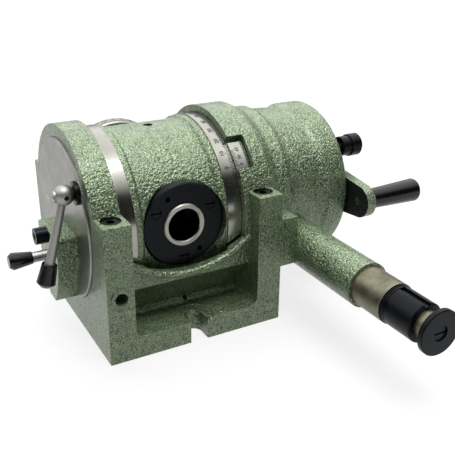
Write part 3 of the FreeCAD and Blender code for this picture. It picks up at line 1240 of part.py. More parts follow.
def make_crank():
    level = s.axis_height
    shaft = new_body("crank_shaft", z=level)
    gear_end = drum_right - s.gear_chamber_gap
    gear_start = gear_end - s.pair_gear_width
    radius = s.crank_shaft_radius
    thin = radius - s.crank_step
    geared = radius - s.shaft_step
    nut = crank_front + s.crank_nut_height
    turned(shaft, "X", outline(
        (gear_start, 0), (gear_start, geared), (gear_end, geared), (gear_end, radius),
        (s.rim_face, radius), (s.rim_face, thin), (nut + s.end_gap, thin), (nut + s.end_gap, 0)))
    arm = new_body("crank_arm", z=level)
    back, front = s.rim_face + s.free_gap, crank_front
    add(arm, "YZ", back, front, circle(0, 0, s.crank_hub_radius))
    end = s.crank_end_radius
    length = s.crank_length
    add(arm, "YZ", back, front, outline(
        (0, -s.crank_hub_radius), (0, s.crank_hub_radius), (-length, end, -end), (-length, -end)))
    arm_y, arm_z = plunger_y, plunger_level - level
    small = s.plunger_arm_radius
    across_y, across_z = sine(s.plunger_angle), cosine(s.plunger_angle)
    add(arm, "YZ", back, front, outline(
        (across_y * small, -across_z * small), (arm_y + across_y * small, arm_z - across_z * small, small),
        (arm_y - across_y * small, arm_z + across_z * small), (-across_y * small, across_z * small)))
    cut(arm, "YZ", back, front, circle(0, 0, thin))
    cut(arm, "YZ", back, front, circle(arm_y, arm_z, s.plunger_radius + s.running_gap))
    stud_radius = s.handle_stud_radius
    seated = stud_radius - s.handle_stud_step
    cut(arm, "YZ", back, front, circle(-length, 0, seated))
    hexagon = new_body("crank_nut", z=level)
    corners = []
    for number in range(6):
        angle = Size(60 * number, str(60 * number))
        corners.append((s.crank_nut_radius * cosine(angle), s.crank_nut_radius * sine(angle)))
    add(hexagon, "YZ", front, nut, outline(*corners))
    cut(hexagon, "YZ", front, nut, circle(0, 0, thin))
    stud = new_body("handle_stud", y=-length, z=level)
    grip_end = crank_front + s.handle_length
    stud_end = grip_end - s.handle_stud_end
    collar = stud_radius + s.handle_collar_out
    collar_end = front + s.handle_collar_width
    turned(stud, "X", outline(
        (back, 0), (back, seated), (front, seated), (front, collar), (collar_end, collar),
        (collar_end, stud_radius), (stud_end, stud_radius), (stud_end, 0)))
    grip = new_body("handle_grip", y=-length, z=level)
    start = collar_end + s.free_gap
    bore = stud_radius + s.running_gap
    end_round = s.handle_end_round
    turned(grip, "X", outline(
        (start, bore), (start, s.handle_small_radius),
        (grip_end - end_round, s.handle_large_radius, end_round),
        (grip_end, s.handle_large_radius - end_round), (grip_end, 0), (stud_end + s.free_gap, 0),
        (stud_end + s.free_gap, bore)))


def make_plunger():
    y, z = plunger_y, plunger_level
    front = crank_front
    sleeve_end = front + s.plunger_sleeve_length
    sleeve = new_body("plunger_sleeve", y=y, z=z)
    knob_radius = s.plunger_knob_radius
    bore = s.plunger_spring_radius + s.spring_gap
    hole = s.plunger_radius + s.running_gap
    spring_start = front + s.plunger_sleeve_floor
    spring_end = sleeve_end - s.plunger_sleeve_lip
    turned(sleeve, "X", outline(
        (front, hole), (front, s.plunger_sleeve_radius), (sleeve_end, s.plunger_sleeve_radius),
        (sleeve_end, hole), (spring_end, hole), (spring_end, bore), (spring_start, bore),
        (spring_start, hole)))
    start = sleeve_end + s.free_gap
    end = start + s.plunger_knob_length
    knob = new_body("plunger_knob", y=y, z=z)
    edge = s.fine_edge
    rounding = s.plunger_knob_round
    cap = end - s.plunger_cap
    turned(knob, "X", outline(
        (start, s.plunger_radius), (start, knob_radius - edge), (start + edge, knob_radius),
        (end - rounding, knob_radius), (end, knob_radius - rounding), (end, 0), (cap, 0),
        (cap, s.plunger_radius)))
    pin = new_body("plunger_pin", y=y, z=z)
    tip = plate_back + s.end_gap
    neck = plate_front + s.plunger_tip_out
    edge = s.plunger_tip_edge
    turned(pin, "X", outline(
        (tip, 0), (tip, s.plunger_tip_radius - edge), (tip + edge, s.plunger_tip_radius),
        (neck, s.plunger_tip_radius), (neck + s.plunger_neck, s.plunger_radius),
        (cap, s.plunger_radius), (cap, 0)))
    ring_x("plunger_spring", 0, y, z, spring_start, spring_end,
           s.plunger_radius + s.spring_gap, s.plunger_spring_radius)


make_base()
make_clamps()
make_vernier()
make_drum()
make_bands()
make_journals()
make_worm_end()
make_pull_pin()
make_lock_lever()
make_rear_cap()
make_bearings()
make_carrier()
make_spindle()
make_worm()
make_housing()
make_input()
make_index_plate()
make_crank()
make_plunger()

doc.recompute()

for item in doc.Objects:
    if "Invalid" in item.State or "Error" in item.State:
        raise RuntimeError(f"{item.Label} is {item.State}")
nodes = [item for item in doc.Objects
         if item.TypeId == "PartDesign::Body" or (item.TypeId == "Part::Feature" and item.getParentGroup() is None)]
os.makedirs("parts", exist_ok=True)
for item in nodes:
    if item.Shape.isNull() or not item.Shape.isValid():
        raise RuntimeError(f"{item.Label} has no valid shape")
for item in nodes:
    item.Shape.exportStep(f"parts/{item.Label}.step")
print(len(nodes), "sub-parts written")
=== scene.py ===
"""Dresses a universal dividing head: hammered green enamel on its castings, bare and blackened steel,
bronze and black plastic, engraved scales, a threaded nose, and a plain studio around it.

Lengths are in metres, in the frame of the CAD model: +X along the swivel axis, +Y along the spindle
towards its nose, +Z up, origin on the underside of the base."""
import json
import math

import bmesh
import bpy
from mathutils import Euler, Matrix, Vector


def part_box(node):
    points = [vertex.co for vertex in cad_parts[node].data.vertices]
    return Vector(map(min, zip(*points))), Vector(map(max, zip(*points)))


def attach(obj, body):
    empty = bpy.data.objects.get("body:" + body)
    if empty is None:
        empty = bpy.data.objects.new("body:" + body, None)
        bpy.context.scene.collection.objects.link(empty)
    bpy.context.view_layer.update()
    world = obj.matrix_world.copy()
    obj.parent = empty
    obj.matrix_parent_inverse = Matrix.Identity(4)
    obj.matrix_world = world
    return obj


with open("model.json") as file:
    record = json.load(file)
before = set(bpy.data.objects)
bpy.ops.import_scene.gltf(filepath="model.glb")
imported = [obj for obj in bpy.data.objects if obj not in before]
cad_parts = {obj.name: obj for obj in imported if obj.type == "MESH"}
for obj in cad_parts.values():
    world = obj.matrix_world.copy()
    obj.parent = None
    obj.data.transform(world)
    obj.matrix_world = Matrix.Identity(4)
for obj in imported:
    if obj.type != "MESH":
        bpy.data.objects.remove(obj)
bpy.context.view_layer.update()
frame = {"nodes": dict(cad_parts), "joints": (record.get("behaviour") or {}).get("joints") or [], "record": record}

bl_info = {
    "name": "Dividing head",
    "version": (1, 0, 0),
    "blender": (4, 5, 0),
    "location": "3D view > Sidebar > Dividing head",
    "description": "Finishes, scales and small details of a universal dividing head",
    "category": "Object",
}

MM = 0.001


def node_box(name):
    """The lowest and highest corner of a CAD node."""
    low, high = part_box(name)
    return Vector(low), Vector(high)


def joint_place(name):
    """A point on the axis of a joint."""
    return Vector(next(joint for joint in frame["joints"] if joint["name"] == name)["pos_m"])


SWIVEL = joint_place("drum_tilt")
SPINDLE = joint_place("spindle_turn")
INPUT = joint_place("input_turn")


def linear(code):
    """An sRGB hex code as a linear colour."""
    values = [int(code[i:i + 2], 16) / 255 for i in (1, 3, 5)]
    return tuple(v / 12.92 if v <= 0.04045 else ((v + 0.055) / 1.055) ** 2.4 for v in values) + (1.0,)


# Sizes and colours

class ScaleSizes(bpy.types.PropertyGroup):
    """Sizes of the engraved scales"""
    band_zero: bpy.props.FloatProperty(
        name="Zero of the degree band", description="Angle above the horizontal at the rear",
        default=math.radians(35.7), subtype="ANGLE")
    # Real lines are about 0.2 mm wide and would hardly show, so these are drawn wider.
    line_width: bpy.props.FloatProperty(
        name="Line width", description="Width of an engraved line", default=0.55 * MM, unit="LENGTH")
    line_height: bpy.props.FloatProperty(
        name="Line height", description="How far the paint in a line stands out",
        default=0.04 * MM, unit="LENGTH")
    line_root: bpy.props.FloatProperty(
        name="Line root", description="How deep the paint in a line reaches",
        default=0.1 * MM, unit="LENGTH")
    digit_height: bpy.props.FloatProperty(
        name="Digit height", description="Height of the degree band's digits",
        default=4.2 * MM, unit="LENGTH")
    small_digit_height: bpy.props.FloatProperty(
        name="Small digit height", description="Height of the vernier's and the dial's digits",
        default=3.36 * MM, unit="LENGTH")


class SurfaceSizes(bpy.types.PropertyGroup):
    """Sizes in the finishes of the surfaces"""
    crest_width: bpy.props.FloatProperty(
        name="Crest width", description="Width of a crest of the hammered enamel",
        default=2.3 * MM, unit="LENGTH")
    crest_height: bpy.props.FloatProperty(
        name="Crest height", description="Relief of the hammered enamel", default=1.1 * MM, unit="LENGTH")
    bend_width: bpy.props.FloatProperty(
        name="Bend width", description="Size of the bends in the enamel's veins",
        default=2.8 * MM, unit="LENGTH")
    bend_reach: bpy.props.FloatProperty(
        name="Bend reach", description="How far the enamel's veins are bent aside",
        default=4.5 * MM, unit="LENGTH")
    cloud_width: bpy.props.FloatProperty(
        name="Cloud width", description="Size of the lighter and darker areas of the enamel",
        default=11 * MM, unit="LENGTH")
    edge_radius: bpy.props.FloatProperty(
        name="Edge radius", description="Rounding of the castings' edges under the paint",
        default=1.1 * MM, unit="LENGTH")
    seam_places: bpy.props.FloatVectorProperty(
        name="Seams", description="Where the gear housing's joints show through the paint, along X",
        default=(93 * MM, 117 * MM), size=2, unit="LENGTH")
    seam_width: bpy.props.FloatProperty(
        name="Seam width", description="Width of such a seam", default=0.6 * MM, unit="LENGTH")
    seam_end: bpy.props.FloatProperty(
        name="Seam end", description="Where a seam ends at the tube of the input shaft, along Y",
        default=-82 * MM, unit="LENGTH")
    bare_depth: bpy.props.FloatProperty(
        name="Bare depth", description="How far the crank arm's bare face reaches round its edge",
        default=0.3 * MM, unit="LENGTH")
    # Painted shade: within this radius the spindle is painted dark, standing in for the shade inside its bore.
    bore_radius: bpy.props.FloatProperty(
        name="Dark bore", description="Radius within which the spindle is dark with oil",
        default=16.1 * MM, unit="LENGTH")


class Finishes(bpy.types.PropertyGroup):
    """Colours of the finishes"""
    enamel_light: bpy.props.FloatVectorProperty(
        name="Enamel", description="Crests of the hammered enamel",
        default=linear("#95a885"), size=4, subtype="COLOR")
    enamel_dark: bpy.props.FloatVectorProperty(
        name="Enamel, dark", description="Veins of the hammered enamel",
        default=linear("#1d2f20"), size=4, subtype="COLOR")
    seam: bpy.props.FloatVectorProperty(
        name="Seam", description="Painted seams of the gear housing",
        default=linear("#2c3a28"), size=4, subtype="COLOR")
    # Painted shade in part: the crank arm's bare steel face gets this near-black colour, which stands in for the
    # shadow on that face as well as for the steel.
    bare_face: bpy.props.FloatVectorProperty(
        name="Bare face", description="Oiled face of the crank arm",
        default=linear("#1c2120"), size=4, subtype="COLOR")
    steel: bpy.props.FloatVectorProperty(
        name="Steel", description="Bare steel", default=linear("#8d8c88"), size=4, subtype="COLOR")
    scale_steel: bpy.props.FloatVectorProperty(
        name="Scale steel", description="Bright scale bands",
        default=linear("#9b9a93"), size=4, subtype="COLOR")
    sleeve_steel: bpy.props.FloatVectorProperty(
        name="Sleeve steel", description="Oiled steel of the input shaft and its sleeve",
        default=linear("#85826f"), size=4, subtype="COLOR")
    lever_steel: bpy.props.FloatVectorProperty(
        name="Lever steel", description="Satin steel of the lock lever and the pull pin",
        default=linear("#9d9e9a"), size=4, subtype="COLOR")
    # Painted shade: this dark colour inside the spindle's bore stands in for the shade deep in the bore.
    bore_steel: bpy.props.FloatVectorProperty(
        name="Bore steel", description="Oiled steel inside the spindle",
        default=linear("#262624"), size=4, subtype="COLOR")
    black_steel: bpy.props.FloatVectorProperty(
        name="Black steel", description="Blackened steel",
        default=linear("#101316"), size=4, subtype="COLOR")
    plastic: bpy.props.FloatVectorProperty(
        name="Grips", description="Black plastic grips", default=linear("#0b0b0c"), size=4, subtype="COLOR")
    bronze: bpy.props.FloatVectorProperty(
        name="Bronze", description="Bearing bronze", default=linear("#a98a5b"), size=4, subtype="COLOR")
    brass: bpy.props.FloatVectorProperty(
        name="Brass", description="Brass plugs", default=linear("#d8c07c"), size=4, subtype="COLOR")
    ink: bpy.props.FloatVectorProperty(
        name="Engraving paint", description="Paint in the engraved lines",
        default=linear("#131313"), size=4, subtype="COLOR")
    worn_ink: bpy.props.FloatVectorProperty(
        name="Engraving paint, worn", description="Worn paint in the engraved lines",
        default=linear("#2a2a29"), size=4, subtype="COLOR")


class StudioSizes(bpy.types.PropertyGroup):
    """Places, sizes and strengths in the studio"""
    camera_place: bpy.props.FloatVectorProperty(
        name="Camera", description="Where the camera stands",
        default=(-0.2613, -0.6300, 0.3770), unit="LENGTH")
    camera_azimuth: bpy.props.FloatProperty(
        name="Azimuth", description="Turn of the camera about the vertical",
        default=math.radians(29.5), subtype="ANGLE")
    camera_fall: bpy.props.FloatProperty(
        name="Fall", description="How far the camera looks down",
        default=math.radians(23.73), subtype="ANGLE")
    camera_roll: bpy.props.FloatProperty(
        name="Roll", description="Roll of the camera", default=math.radians(0.64), subtype="ANGLE")
    camera_shift: bpy.props.FloatVectorProperty(
        name="Shift", description="Shift of the picture on the lens's axis, as a share of its width",
        default=(-0.0071, -0.0044), size=2)
    lens: bpy.props.FloatProperty(
        name="Lens", description="Focal length in millimetres", default=55.95, unit="CAMERA")
    target: bpy.props.FloatVectorProperty(
        name="Target", description="Where the lights point", default=(0.03, 0.0, 0.10), unit="LENGTH")
    key_power: bpy.props.FloatProperty(
        name="Key light", description="Strength of the soft light above", default=4.4)
    key_spread: bpy.props.FloatProperty(
        name="Key spread", description="How wide the light above is",
        default=math.radians(60), subtype="ANGLE")
    key_place: bpy.props.FloatVectorProperty(
        name="Key place", description="Where the light above comes from",
        default=(0.15, 0.7, 1.1), unit="LENGTH")
    glint_power: bpy.props.FloatProperty(
        name="Glint light", description="Strength of the small light that the metal mirrors",
        default=4.4 / 2.8)
    glint_spread: bpy.props.FloatProperty(
        name="Glint spread", description="How wide the small light is",
        default=math.radians(28), subtype="ANGLE")
    glint_place: bpy.props.FloatVectorProperty(
        name="Glint place", description="Where the small light comes from",
        default=(0.1, -0.2, 1.1), unit="LENGTH")
    side_power: bpy.props.FloatProperty(
        name="Front light", description="Power of the soft light in front", default=1.2, unit="POWER")
    side_size: bpy.props.FloatProperty(
        name="Front size", description="Side of the light in front", default=0.7, unit="LENGTH")
    side_place: bpy.props.FloatVectorProperty(
        name="Front place", description="Where the light in front stands",
        default=(-1.15, -0.95, 0.5), unit="LENGTH")
    room_light: bpy.props.FloatProperty(
        name="Room light", description="Light that the room sheds on the object", default=0.01)
    room_glow: bpy.props.FloatProperty(
        name="Room glow", description="Brightness of the room in reflections", default=2.1)
    floor_size: bpy.props.FloatProperty(
        name="Floor", description="Half the side of the floor", default=6.0, unit="LENGTH")
    floor_gap: bpy.props.FloatProperty(
        name="Floor gap", description="How far the floor lies below the base",
        default=0.2 * MM, unit="LENGTH")
    floor_glow: bpy.props.FloatProperty(
        name="Floor glow", description="Share of the floor's paper that shines by itself",
        default=0.82, subtype="FACTOR")


# Materials

def add_node(tree, kind, links=None, inputs=None, stops=(), **settings):
    """Adds a node with its settings, its constant inputs, the sockets linked into it, and for a colour
    ramp its stops, each a position and a colour."""
    made = tree.nodes.new(kind)
    for name, value in settings.items():
        setattr(made, name, value)
    for name, value in (inputs or {}).items():
        made.inputs[name].default_value = value
    for name, socket in (links or {}).items():
        tree.links.new(socket, made.inputs[name])
    if stops:
        elements = made.color_ramp.elements
        while len(elements) < len(stops):
            elements.new(0.5)
        for element, (position, colour) in zip(elements, stops):
            element.position = position
            element.color = colour
    return made


def new_material(name, **sockets):
    """A material with one Principled shader. Returns it with its tree, shader and Object coordinates."""
    made = bpy.data.materials.new(name)
    made.use_nodes = True
    shader = made.node_tree.nodes["Principled BSDF"]
    for socket, value in sockets.items():
        shader.inputs[socket.replace("_", " ")].default_value = value
    place = add_node(made.node_tree, "ShaderNodeTexCoord").outputs["Object"]
    return made, made.node_tree, shader, place


def link_shader(tree, shader, **sockets):
    """Links sockets into the shader's inputs of those names."""
    for name, socket in sockets.items():
        tree.links.new(socket, shader.inputs[name.replace("_", " ")])


def grey(value):
    """A grey as a linear colour."""
    return (value, value, value, 1.0)


def shaded(colour, factor):
    """A colour made darker or brighter."""
    return tuple(factor * value for value in colour[:3]) + (1.0,)


def between(first, second, share):
    """The colour that lies a share of the way from the first to the second."""
    return tuple((1 - share) * a + share * b for a, b in zip(first, second))


def hammered_enamel(name="Hammered enamel", bare_plane=None, seams=()):
    """Hammer-finish enamel, sprayed on cast iron: shiny grey-green crests about 2 mm wide in a net of
    darker, sunken veins. The metal flake in it makes it bright where it mirrors the light and dark green
    in the shade. It may leave the side of a piece beyond one X as bare steel, near black with painted
    shade, and have dark seams at some X."""
    finish = bpy.context.scene.dividing_head_finishes
    sizes = bpy.context.scene.dividing_head_surfaces
    light, dark = tuple(finish.enamel_light), tuple(finish.enamel_dark)
    made, tree, shader, place = new_material(name, Metallic=0.5, Coat_Weight=0.25, Coat_Roughness=0.1)
    wander = add_node(tree, "ShaderNodeTexNoise", {"Vector": place},
                      {"Scale": 1 / sizes.bend_width, "Detail": 3.0})
    shift = add_node(tree, "ShaderNodeVectorMath", {0: wander.outputs["Color"]},
                     {1: (sizes.bend_reach,) * 3}, operation="MULTIPLY")
    bent = add_node(tree, "ShaderNodeVectorMath", {0: place, 1: shift.outputs["Vector"]},
                    operation="ADD").outputs["Vector"]
    crests = {"Scale": 1 / sizes.crest_width}
    cells = add_node(tree, "ShaderNodeTexVoronoi", {"Vector": bent}, crests, feature="DISTANCE_TO_EDGE")
    domes = add_node(tree, "ShaderNodeTexVoronoi", {"Vector": bent}, crests, feature="SMOOTH_F1")
    clouds = add_node(tree, "ShaderNodeTexNoise", {"Vector": place},
                      {"Scale": 1 / sizes.cloud_width, "Detail": 5.0, "Roughness": 0.65}).outputs["Fac"]
    veins = add_node(tree, "ShaderNodeValToRGB", {"Fac": cells.outputs["Distance"]},
                     stops=((0.0, dark), (0.06, between(light, dark, 0.6)), (0.17, light)))
    tone = add_node(tree, "ShaderNodeValToRGB", {"Fac": clouds},
                    stops=((0.3, grey(0.72)), (0.48, grey(0.95)), (0.7, grey(1.12))))
    base = add_node(tree, "ShaderNodeMix", {6: veins.outputs["Color"], 7: tone.outputs["Color"]}, {0: 1.0},
                    data_type="RGBA", blend_type="MULTIPLY").outputs[2]
    gloss = add_node(tree, "ShaderNodeValToRGB", {"Fac": clouds},
                     stops=((0.3, grey(0.3)), (0.75, grey(0.42)))).outputs["Color"]
    for seam in seams:
        base = seam_line(tree, place, base, seam)
    # The bare face is near black: the colour of bare steel with painted shade in it.
    if bare_plane is not None:
        base, gloss = bare_face(tree, place, base, gloss, bare_plane)
    height = add_node(tree, "ShaderNodeMath", {0: clouds, 1: domes.outputs["Distance"]},
                      operation="SUBTRACT")
    edges = add_node(tree, "ShaderNodeBevel", inputs={"Radius": sizes.edge_radius}, samples=6)
    relief = add_node(tree, "ShaderNodeBump",
                      {"Height": height.outputs["Value"], "Normal": edges.outputs["Normal"]},
                      {"Strength": 0.9, "Distance": sizes.crest_height})
    link_shader(tree, shader, Base_Color=base, Roughness=gloss, Normal=relief.outputs["Normal"])
    return made


def seam_line(tree, place, base, seam):
    """A thin dark line at one X, where two castings meet under the paint, up to the tube in front."""
    sizes = bpy.context.scene.dividing_head_surfaces
    colour = bpy.context.scene.dividing_head_finishes.seam
    parts = add_node(tree, "ShaderNodeSeparateXYZ", {0: place}).outputs
    near = add_node(tree, "ShaderNodeMath", {0: parts["X"]}, {1: seam, 2: sizes.seam_width / 2},
                    operation="COMPARE")
    behind = add_node(tree, "ShaderNodeMath", {0: parts["Y"]}, {1: sizes.seam_end}, operation="GREATER_THAN")
    line = add_node(tree, "ShaderNodeMath", {0: near.outputs["Value"], 1: behind.outputs["Value"]},
                    operation="MULTIPLY").outputs["Value"]
    return add_node(tree, "ShaderNodeMix", {0: line, 6: base}, {7: colour}, data_type="RGBA").outputs[2]


def bare_face(tree, place, base, gloss, plane):
    """Leaves the side of a painted piece that lies at one X bare, in a near-black colour that is partly bare steel
    and partly painted shade on that face.
    """
    colour = bpy.context.scene.dividing_head_finishes.bare_face
    along = add_node(tree, "ShaderNodeSeparateXYZ", {0: place}).outputs["X"]
    bare = add_node(tree, "ShaderNodeMath", {0: along}, {1: plane}, operation="LESS_THAN").outputs["Value"]
    steel = add_node(tree, "ShaderNodeMix", {0: bare, 6: base}, {7: colour}, data_type="RGBA")
    sheen = add_node(tree, "ShaderNodeMix", {0: bare, 6: gloss}, {7: grey(0.38)}, data_type="RGBA")
    return steel.outputs[2], sheen.outputs[2]


def turned_steel(name, colour, axis, centre, roughness, groove=0.35, dark=0.62, bore=None):
    """Steel turned on a lathe: fine tool lines round the piece, a little darker where oil has dried,
    and painted dark inside a bore of the given radius, as painted shade in the bore."""
    made, tree, shader, place = new_material(name, Metallic=1.0)
    local = add_node(tree, "ShaderNodeVectorMath", {0: place}, {1: tuple(centre)}, operation="SUBTRACT")
    parts = add_node(tree, "ShaderNodeSeparateXYZ", {0: local.outputs["Vector"]}).outputs
    across = [parts[k] for k in "XYZ" if k != axis]
    radial = add_node(tree, "ShaderNodeCombineXYZ", {"X": across[0], "Y": across[1]})
    radius = add_node(tree, "ShaderNodeVectorMath", {0: radial.outputs["Vector"]},
                      operation="LENGTH").outputs["Value"]
    lines = add_node(tree, "ShaderNodeCombineXYZ", {"X": parts[axis], "Y": radius}).outputs["Vector"]
    # Real tool lines lie 0.1 mm apart and would not show, so these are drawn 0.8 mm apart.
    cuts = add_node(tree, "ShaderNodeTexNoise", {"Vector": lines},
                    {"Scale": 1 / (0.8 * MM), "Detail": 4.0, "Roughness": 0.65}).outputs["Fac"]
    stain = add_node(tree, "ShaderNodeTexNoise", {"Vector": place},
                     {"Scale": 1 / (22 * MM), "Detail": 6.0, "Roughness": 0.62}).outputs["Fac"]
    tone = add_node(tree, "ShaderNodeValToRGB", {"Fac": stain},
                    stops=((0.32, shaded(colour, dark)), (0.62, colour))).outputs["Color"]
    shade = add_node(tree, "ShaderNodeValToRGB", {"Fac": cuts},
                     stops=((0.25, grey(0.82)), (0.75, grey(1.05)))).outputs["Color"]
    base = add_node(tree, "ShaderNodeMix", {6: tone, 7: shade}, {0: groove},
                    data_type="RGBA", blend_type="MULTIPLY").outputs[2]
    # Painted shade: steel inside the bore gets a dark colour that stands in for the shade deep in it.
    if bore is not None:
        shade_in_bore = bpy.context.scene.dividing_head_finishes.bore_steel
        inside = add_node(tree, "ShaderNodeMath", {0: radius}, {1: bore}, operation="LESS_THAN")
        base = add_node(tree, "ShaderNodeMix", {0: inside.outputs["Value"], 6: base}, {7: shade_in_bore},
                        data_type="RGBA").outputs[2]
    rough = add_node(tree, "ShaderNodeValToRGB", {"Fac": cuts},
                     stops=((0.2, grey(roughness * 0.75)), (0.8, grey(roughness * 1.35))))
    relief = add_node(tree, "ShaderNodeBump", {"Height": cuts}, {"Strength": groove, "Distance": 0.015 * MM})
    link_shader(tree, shader, Base_Color=base, Roughness=rough.outputs["Color"],
                Normal=relief.outputs["Normal"])
    return made


def ground_steel(name, colour, roughness):
    """Ground steel: bright, with faint short scratches that all run one way."""
    made, tree, shader, place = new_material(name, Metallic=1.0)
    # Real scratches are finer than 0.1 mm and would not show, so these are drawn 1.1 mm wide.
    length, width = 17 * MM, 1.1 * MM
    drawn = add_node(tree, "ShaderNodeMapping", {"Vector": place},
                     {"Scale": (1 / length, 1 / width, 1 / width)})
    scratches = add_node(tree, "ShaderNodeTexNoise", {"Vector": drawn.outputs["Vector"]},
                         {"Scale": 1.0, "Detail": 5.0}).outputs["Fac"]
    tone = add_node(tree, "ShaderNodeValToRGB", {"Fac": scratches},
                    stops=((0.3, shaded(colour, 0.75)), (0.65, colour)))
    rough = add_node(tree, "ShaderNodeValToRGB", {"Fac": scratches},
                     stops=((0.3, grey(roughness * 0.8)), (0.7, grey(roughness * 1.3))))
    relief = add_node(tree, "ShaderNodeBump", {"Height": scratches},
                      {"Strength": 0.3, "Distance": 0.01 * MM})
    link_shader(tree, shader, Base_Color=tone.outputs["Color"], Roughness=rough.outputs["Color"],
                Normal=relief.outputs["Normal"])
    return made


def blackened_steel(name, roughness):
    """Steel blackened in hot salts: nearly black, with an oily sheen and faint brighter clouds."""
    colour = bpy.context.scene.dividing_head_finishes.black_steel
    made, tree, shader, place = new_material(name, Metallic=0.85)
    clouds = add_node(tree, "ShaderNodeTexNoise", {"Vector": place},
                      {"Scale": 1 / (8 * MM), "Detail": 5.0, "Roughness": 0.6}).outputs["Fac"]
    grain = add_node(tree, "ShaderNodeTexNoise", {"Vector": place}, {"Scale": 1 / (0.7 * MM), "Detail": 3.0})
    tone = add_node(tree, "ShaderNodeValToRGB", {"Fac": clouds},
                    stops=((0.35, colour), (0.75, shaded(colour, 1.7))))
    rough = add_node(tree, "ShaderNodeValToRGB", {"Fac": clouds},
                     stops=((0.3, grey(roughness * 0.8)), (0.7, grey(roughness * 1.25))))
    relief = add_node(tree, "ShaderNodeBump", {"Height": grain.outputs["Fac"]},
                      {"Strength": 0.25, "Distance": 0.05 * MM})
    link_shader(tree, shader, Base_Color=tone.outputs["Color"], Roughness=rough.outputs["Color"],
                Normal=relief.outputs["Normal"])
    return made


def moulded_plastic(name):
    """Phenolic moulding: black and glossy, with the slight waviness of the mould."""
    colour = bpy.context.scene.dividing_head_finishes.plastic
    made, tree, shader, place = new_material(name, Specular_IOR_Level=0.35)
    waves = add_node(tree, "ShaderNodeTexNoise", {"Vector": place},
                     {"Scale": 1 / (6 * MM), "Detail": 3.0}).outputs["Fac"]
    tone = add_node(tree, "ShaderNodeValToRGB", {"Fac": waves},
                    stops=((0.35, colour), (0.7, shaded(colour, 1.5))))
    rough = add_node(tree, "ShaderNodeValToRGB", {"Fac": waves},
                     stops=((0.3, grey(0.16)), (0.7, grey(0.27))))
    relief = add_node(tree, "ShaderNodeBump", {"Height": waves}, {"Strength": 0.2, "Distance": 0.08 * MM})
    link_shader(tree, shader, Base_Color=tone.outputs["Color"], Roughness=rough.outputs["Color"],
                Normal=relief.outputs["Normal"])
    return made


def turned_bronze(name, colour):
    """Bronze or brass, turned: yellow-brown, with duller spots where it has tarnished."""
    made, tree, shader, place = new_material(name, Metallic=1.0, Roughness=0.32)
    spots = add_node(tree, "ShaderNodeTexNoise", {"Vector": place},
                     {"Scale": 1 / (3.3 * MM), "Detail": 5.0}).outputs["Fac"]
    tone = add_node(tree, "ShaderNodeValToRGB", {"Fac": spots},
                    stops=((0.35, shaded(colour, 0.55)), (0.65, colour)))
    relief = add_node(tree, "ShaderNodeBump", {"Height": spots}, {"Strength": 0.3, "Distance": 0.04 * MM})
    link_shader(tree, shader, Base_Color=tone.outputs["Color"], Normal=relief.outputs["Normal"])
    return made


def engraving_paint(name):
    """Matt black paint left in the engraved lines, greyer where it is worn."""
    finish = bpy.context.scene.dividing_head_finishes
    made, tree, shader, place = new_material(name, Roughness=0.7)
    grain = add_node(tree, "ShaderNodeTexNoise", {"Vector": place}, {"Scale": 1 / (1.1 * MM), "Detail": 3.0})
    tone = add_node(tree, "ShaderNodeValToRGB", {"Fac": grain.outputs["Fac"]},
                    stops=((0.3, finish.ink), (0.7, finish.worn_ink)))
    link_shader(tree, shader, Base_Color=tone.outputs["Color"])
    return made


# Meshes

def finish_piece(bm, name, material, body):
    """Makes a mesh object of a bmesh and lets it ride on a body."""
    mesh = bpy.data.meshes.new(name)
    bmesh.ops.recalc_face_normals(bm, faces=bm.faces)
    bm.to_mesh(mesh)
    bm.free()
    mesh.materials.append(material)
    made = bpy.data.objects.new(name, mesh)
    bpy.context.scene.collection.objects.link(made)
    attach(made, body)


def add_box(bm, low, high):
    """A box between two corners."""
    low, high = Vector(low), Vector(high)
    size = high - low
    place = Matrix.Translation((low + high) / 2) @ Matrix.Diagonal((*size, 1.0))
    bmesh.ops.create_cube(bm, size=1.0, matrix=place)


def add_digits(bm, text, height, place):
    """Digits in the plane z = 0, centred at a place, reading along +x. Returns their vertices."""
    # A digit is as high as this share of the font's size, and a stamped one has thicker strokes.
    digit_share = 0.7
    thicker_by = 0.04 * height
    curve = bpy.data.curves.new("digits", "FONT")
    curve.body = text
    curve.size = height / digit_share
    curve.align_x = "CENTER"
    curve.align_y = "CENTER"
    curve.extrude = 0.5
    curve.offset = thicker_by
    curve.resolution_u = 3
    piece = bpy.data.objects.new("digits", curve)
    bpy.context.scene.collection.objects.link(piece)
    bpy.context.view_layer.update()
    mesh = bpy.data.meshes.new_from_object(piece.evaluated_get(bpy.context.evaluated_depsgraph_get()))
    before = len(bm.verts)
    bm.from_mesh(mesh)
    bm.verts.ensure_lookup_table()
    verts = bm.verts[before:]
    for vert in verts:
        vert.co.x += place[0]
        vert.co.y += place[1]
    bpy.data.objects.remove(piece)
    bpy.data.curves.remove(curve)
    bpy.data.meshes.remove(mesh)
    return verts


def draw_scale(step, lines, marks, digits, digit_height, digit_place, side=1):
    """A scale drawn flat as a bmesh. Its lines stand one step apart on y = 0 and point to one side, and
    its digits lie beyond them. Marks are pairs of every how many lines and their length, longest first."""
    sizes = bpy.context.scene.dividing_head_scales
    bm = bmesh.new()
    for line in lines:
        length = next(length for every, length in marks if line % every == 0)
        low, high = sorted((0, side * length))
        add_box(bm, (line * step - sizes.line_width / 2, low, -sizes.line_root),
                (line * step + sizes.line_width / 2, high, sizes.line_height))
    for line, text in digits:
        for vert in add_digits(bm, text, digit_height, (line * step, side * digit_place)):
            vert.co.z = sizes.line_height if vert.co.z > 0 else -sizes.line_root
    return bm


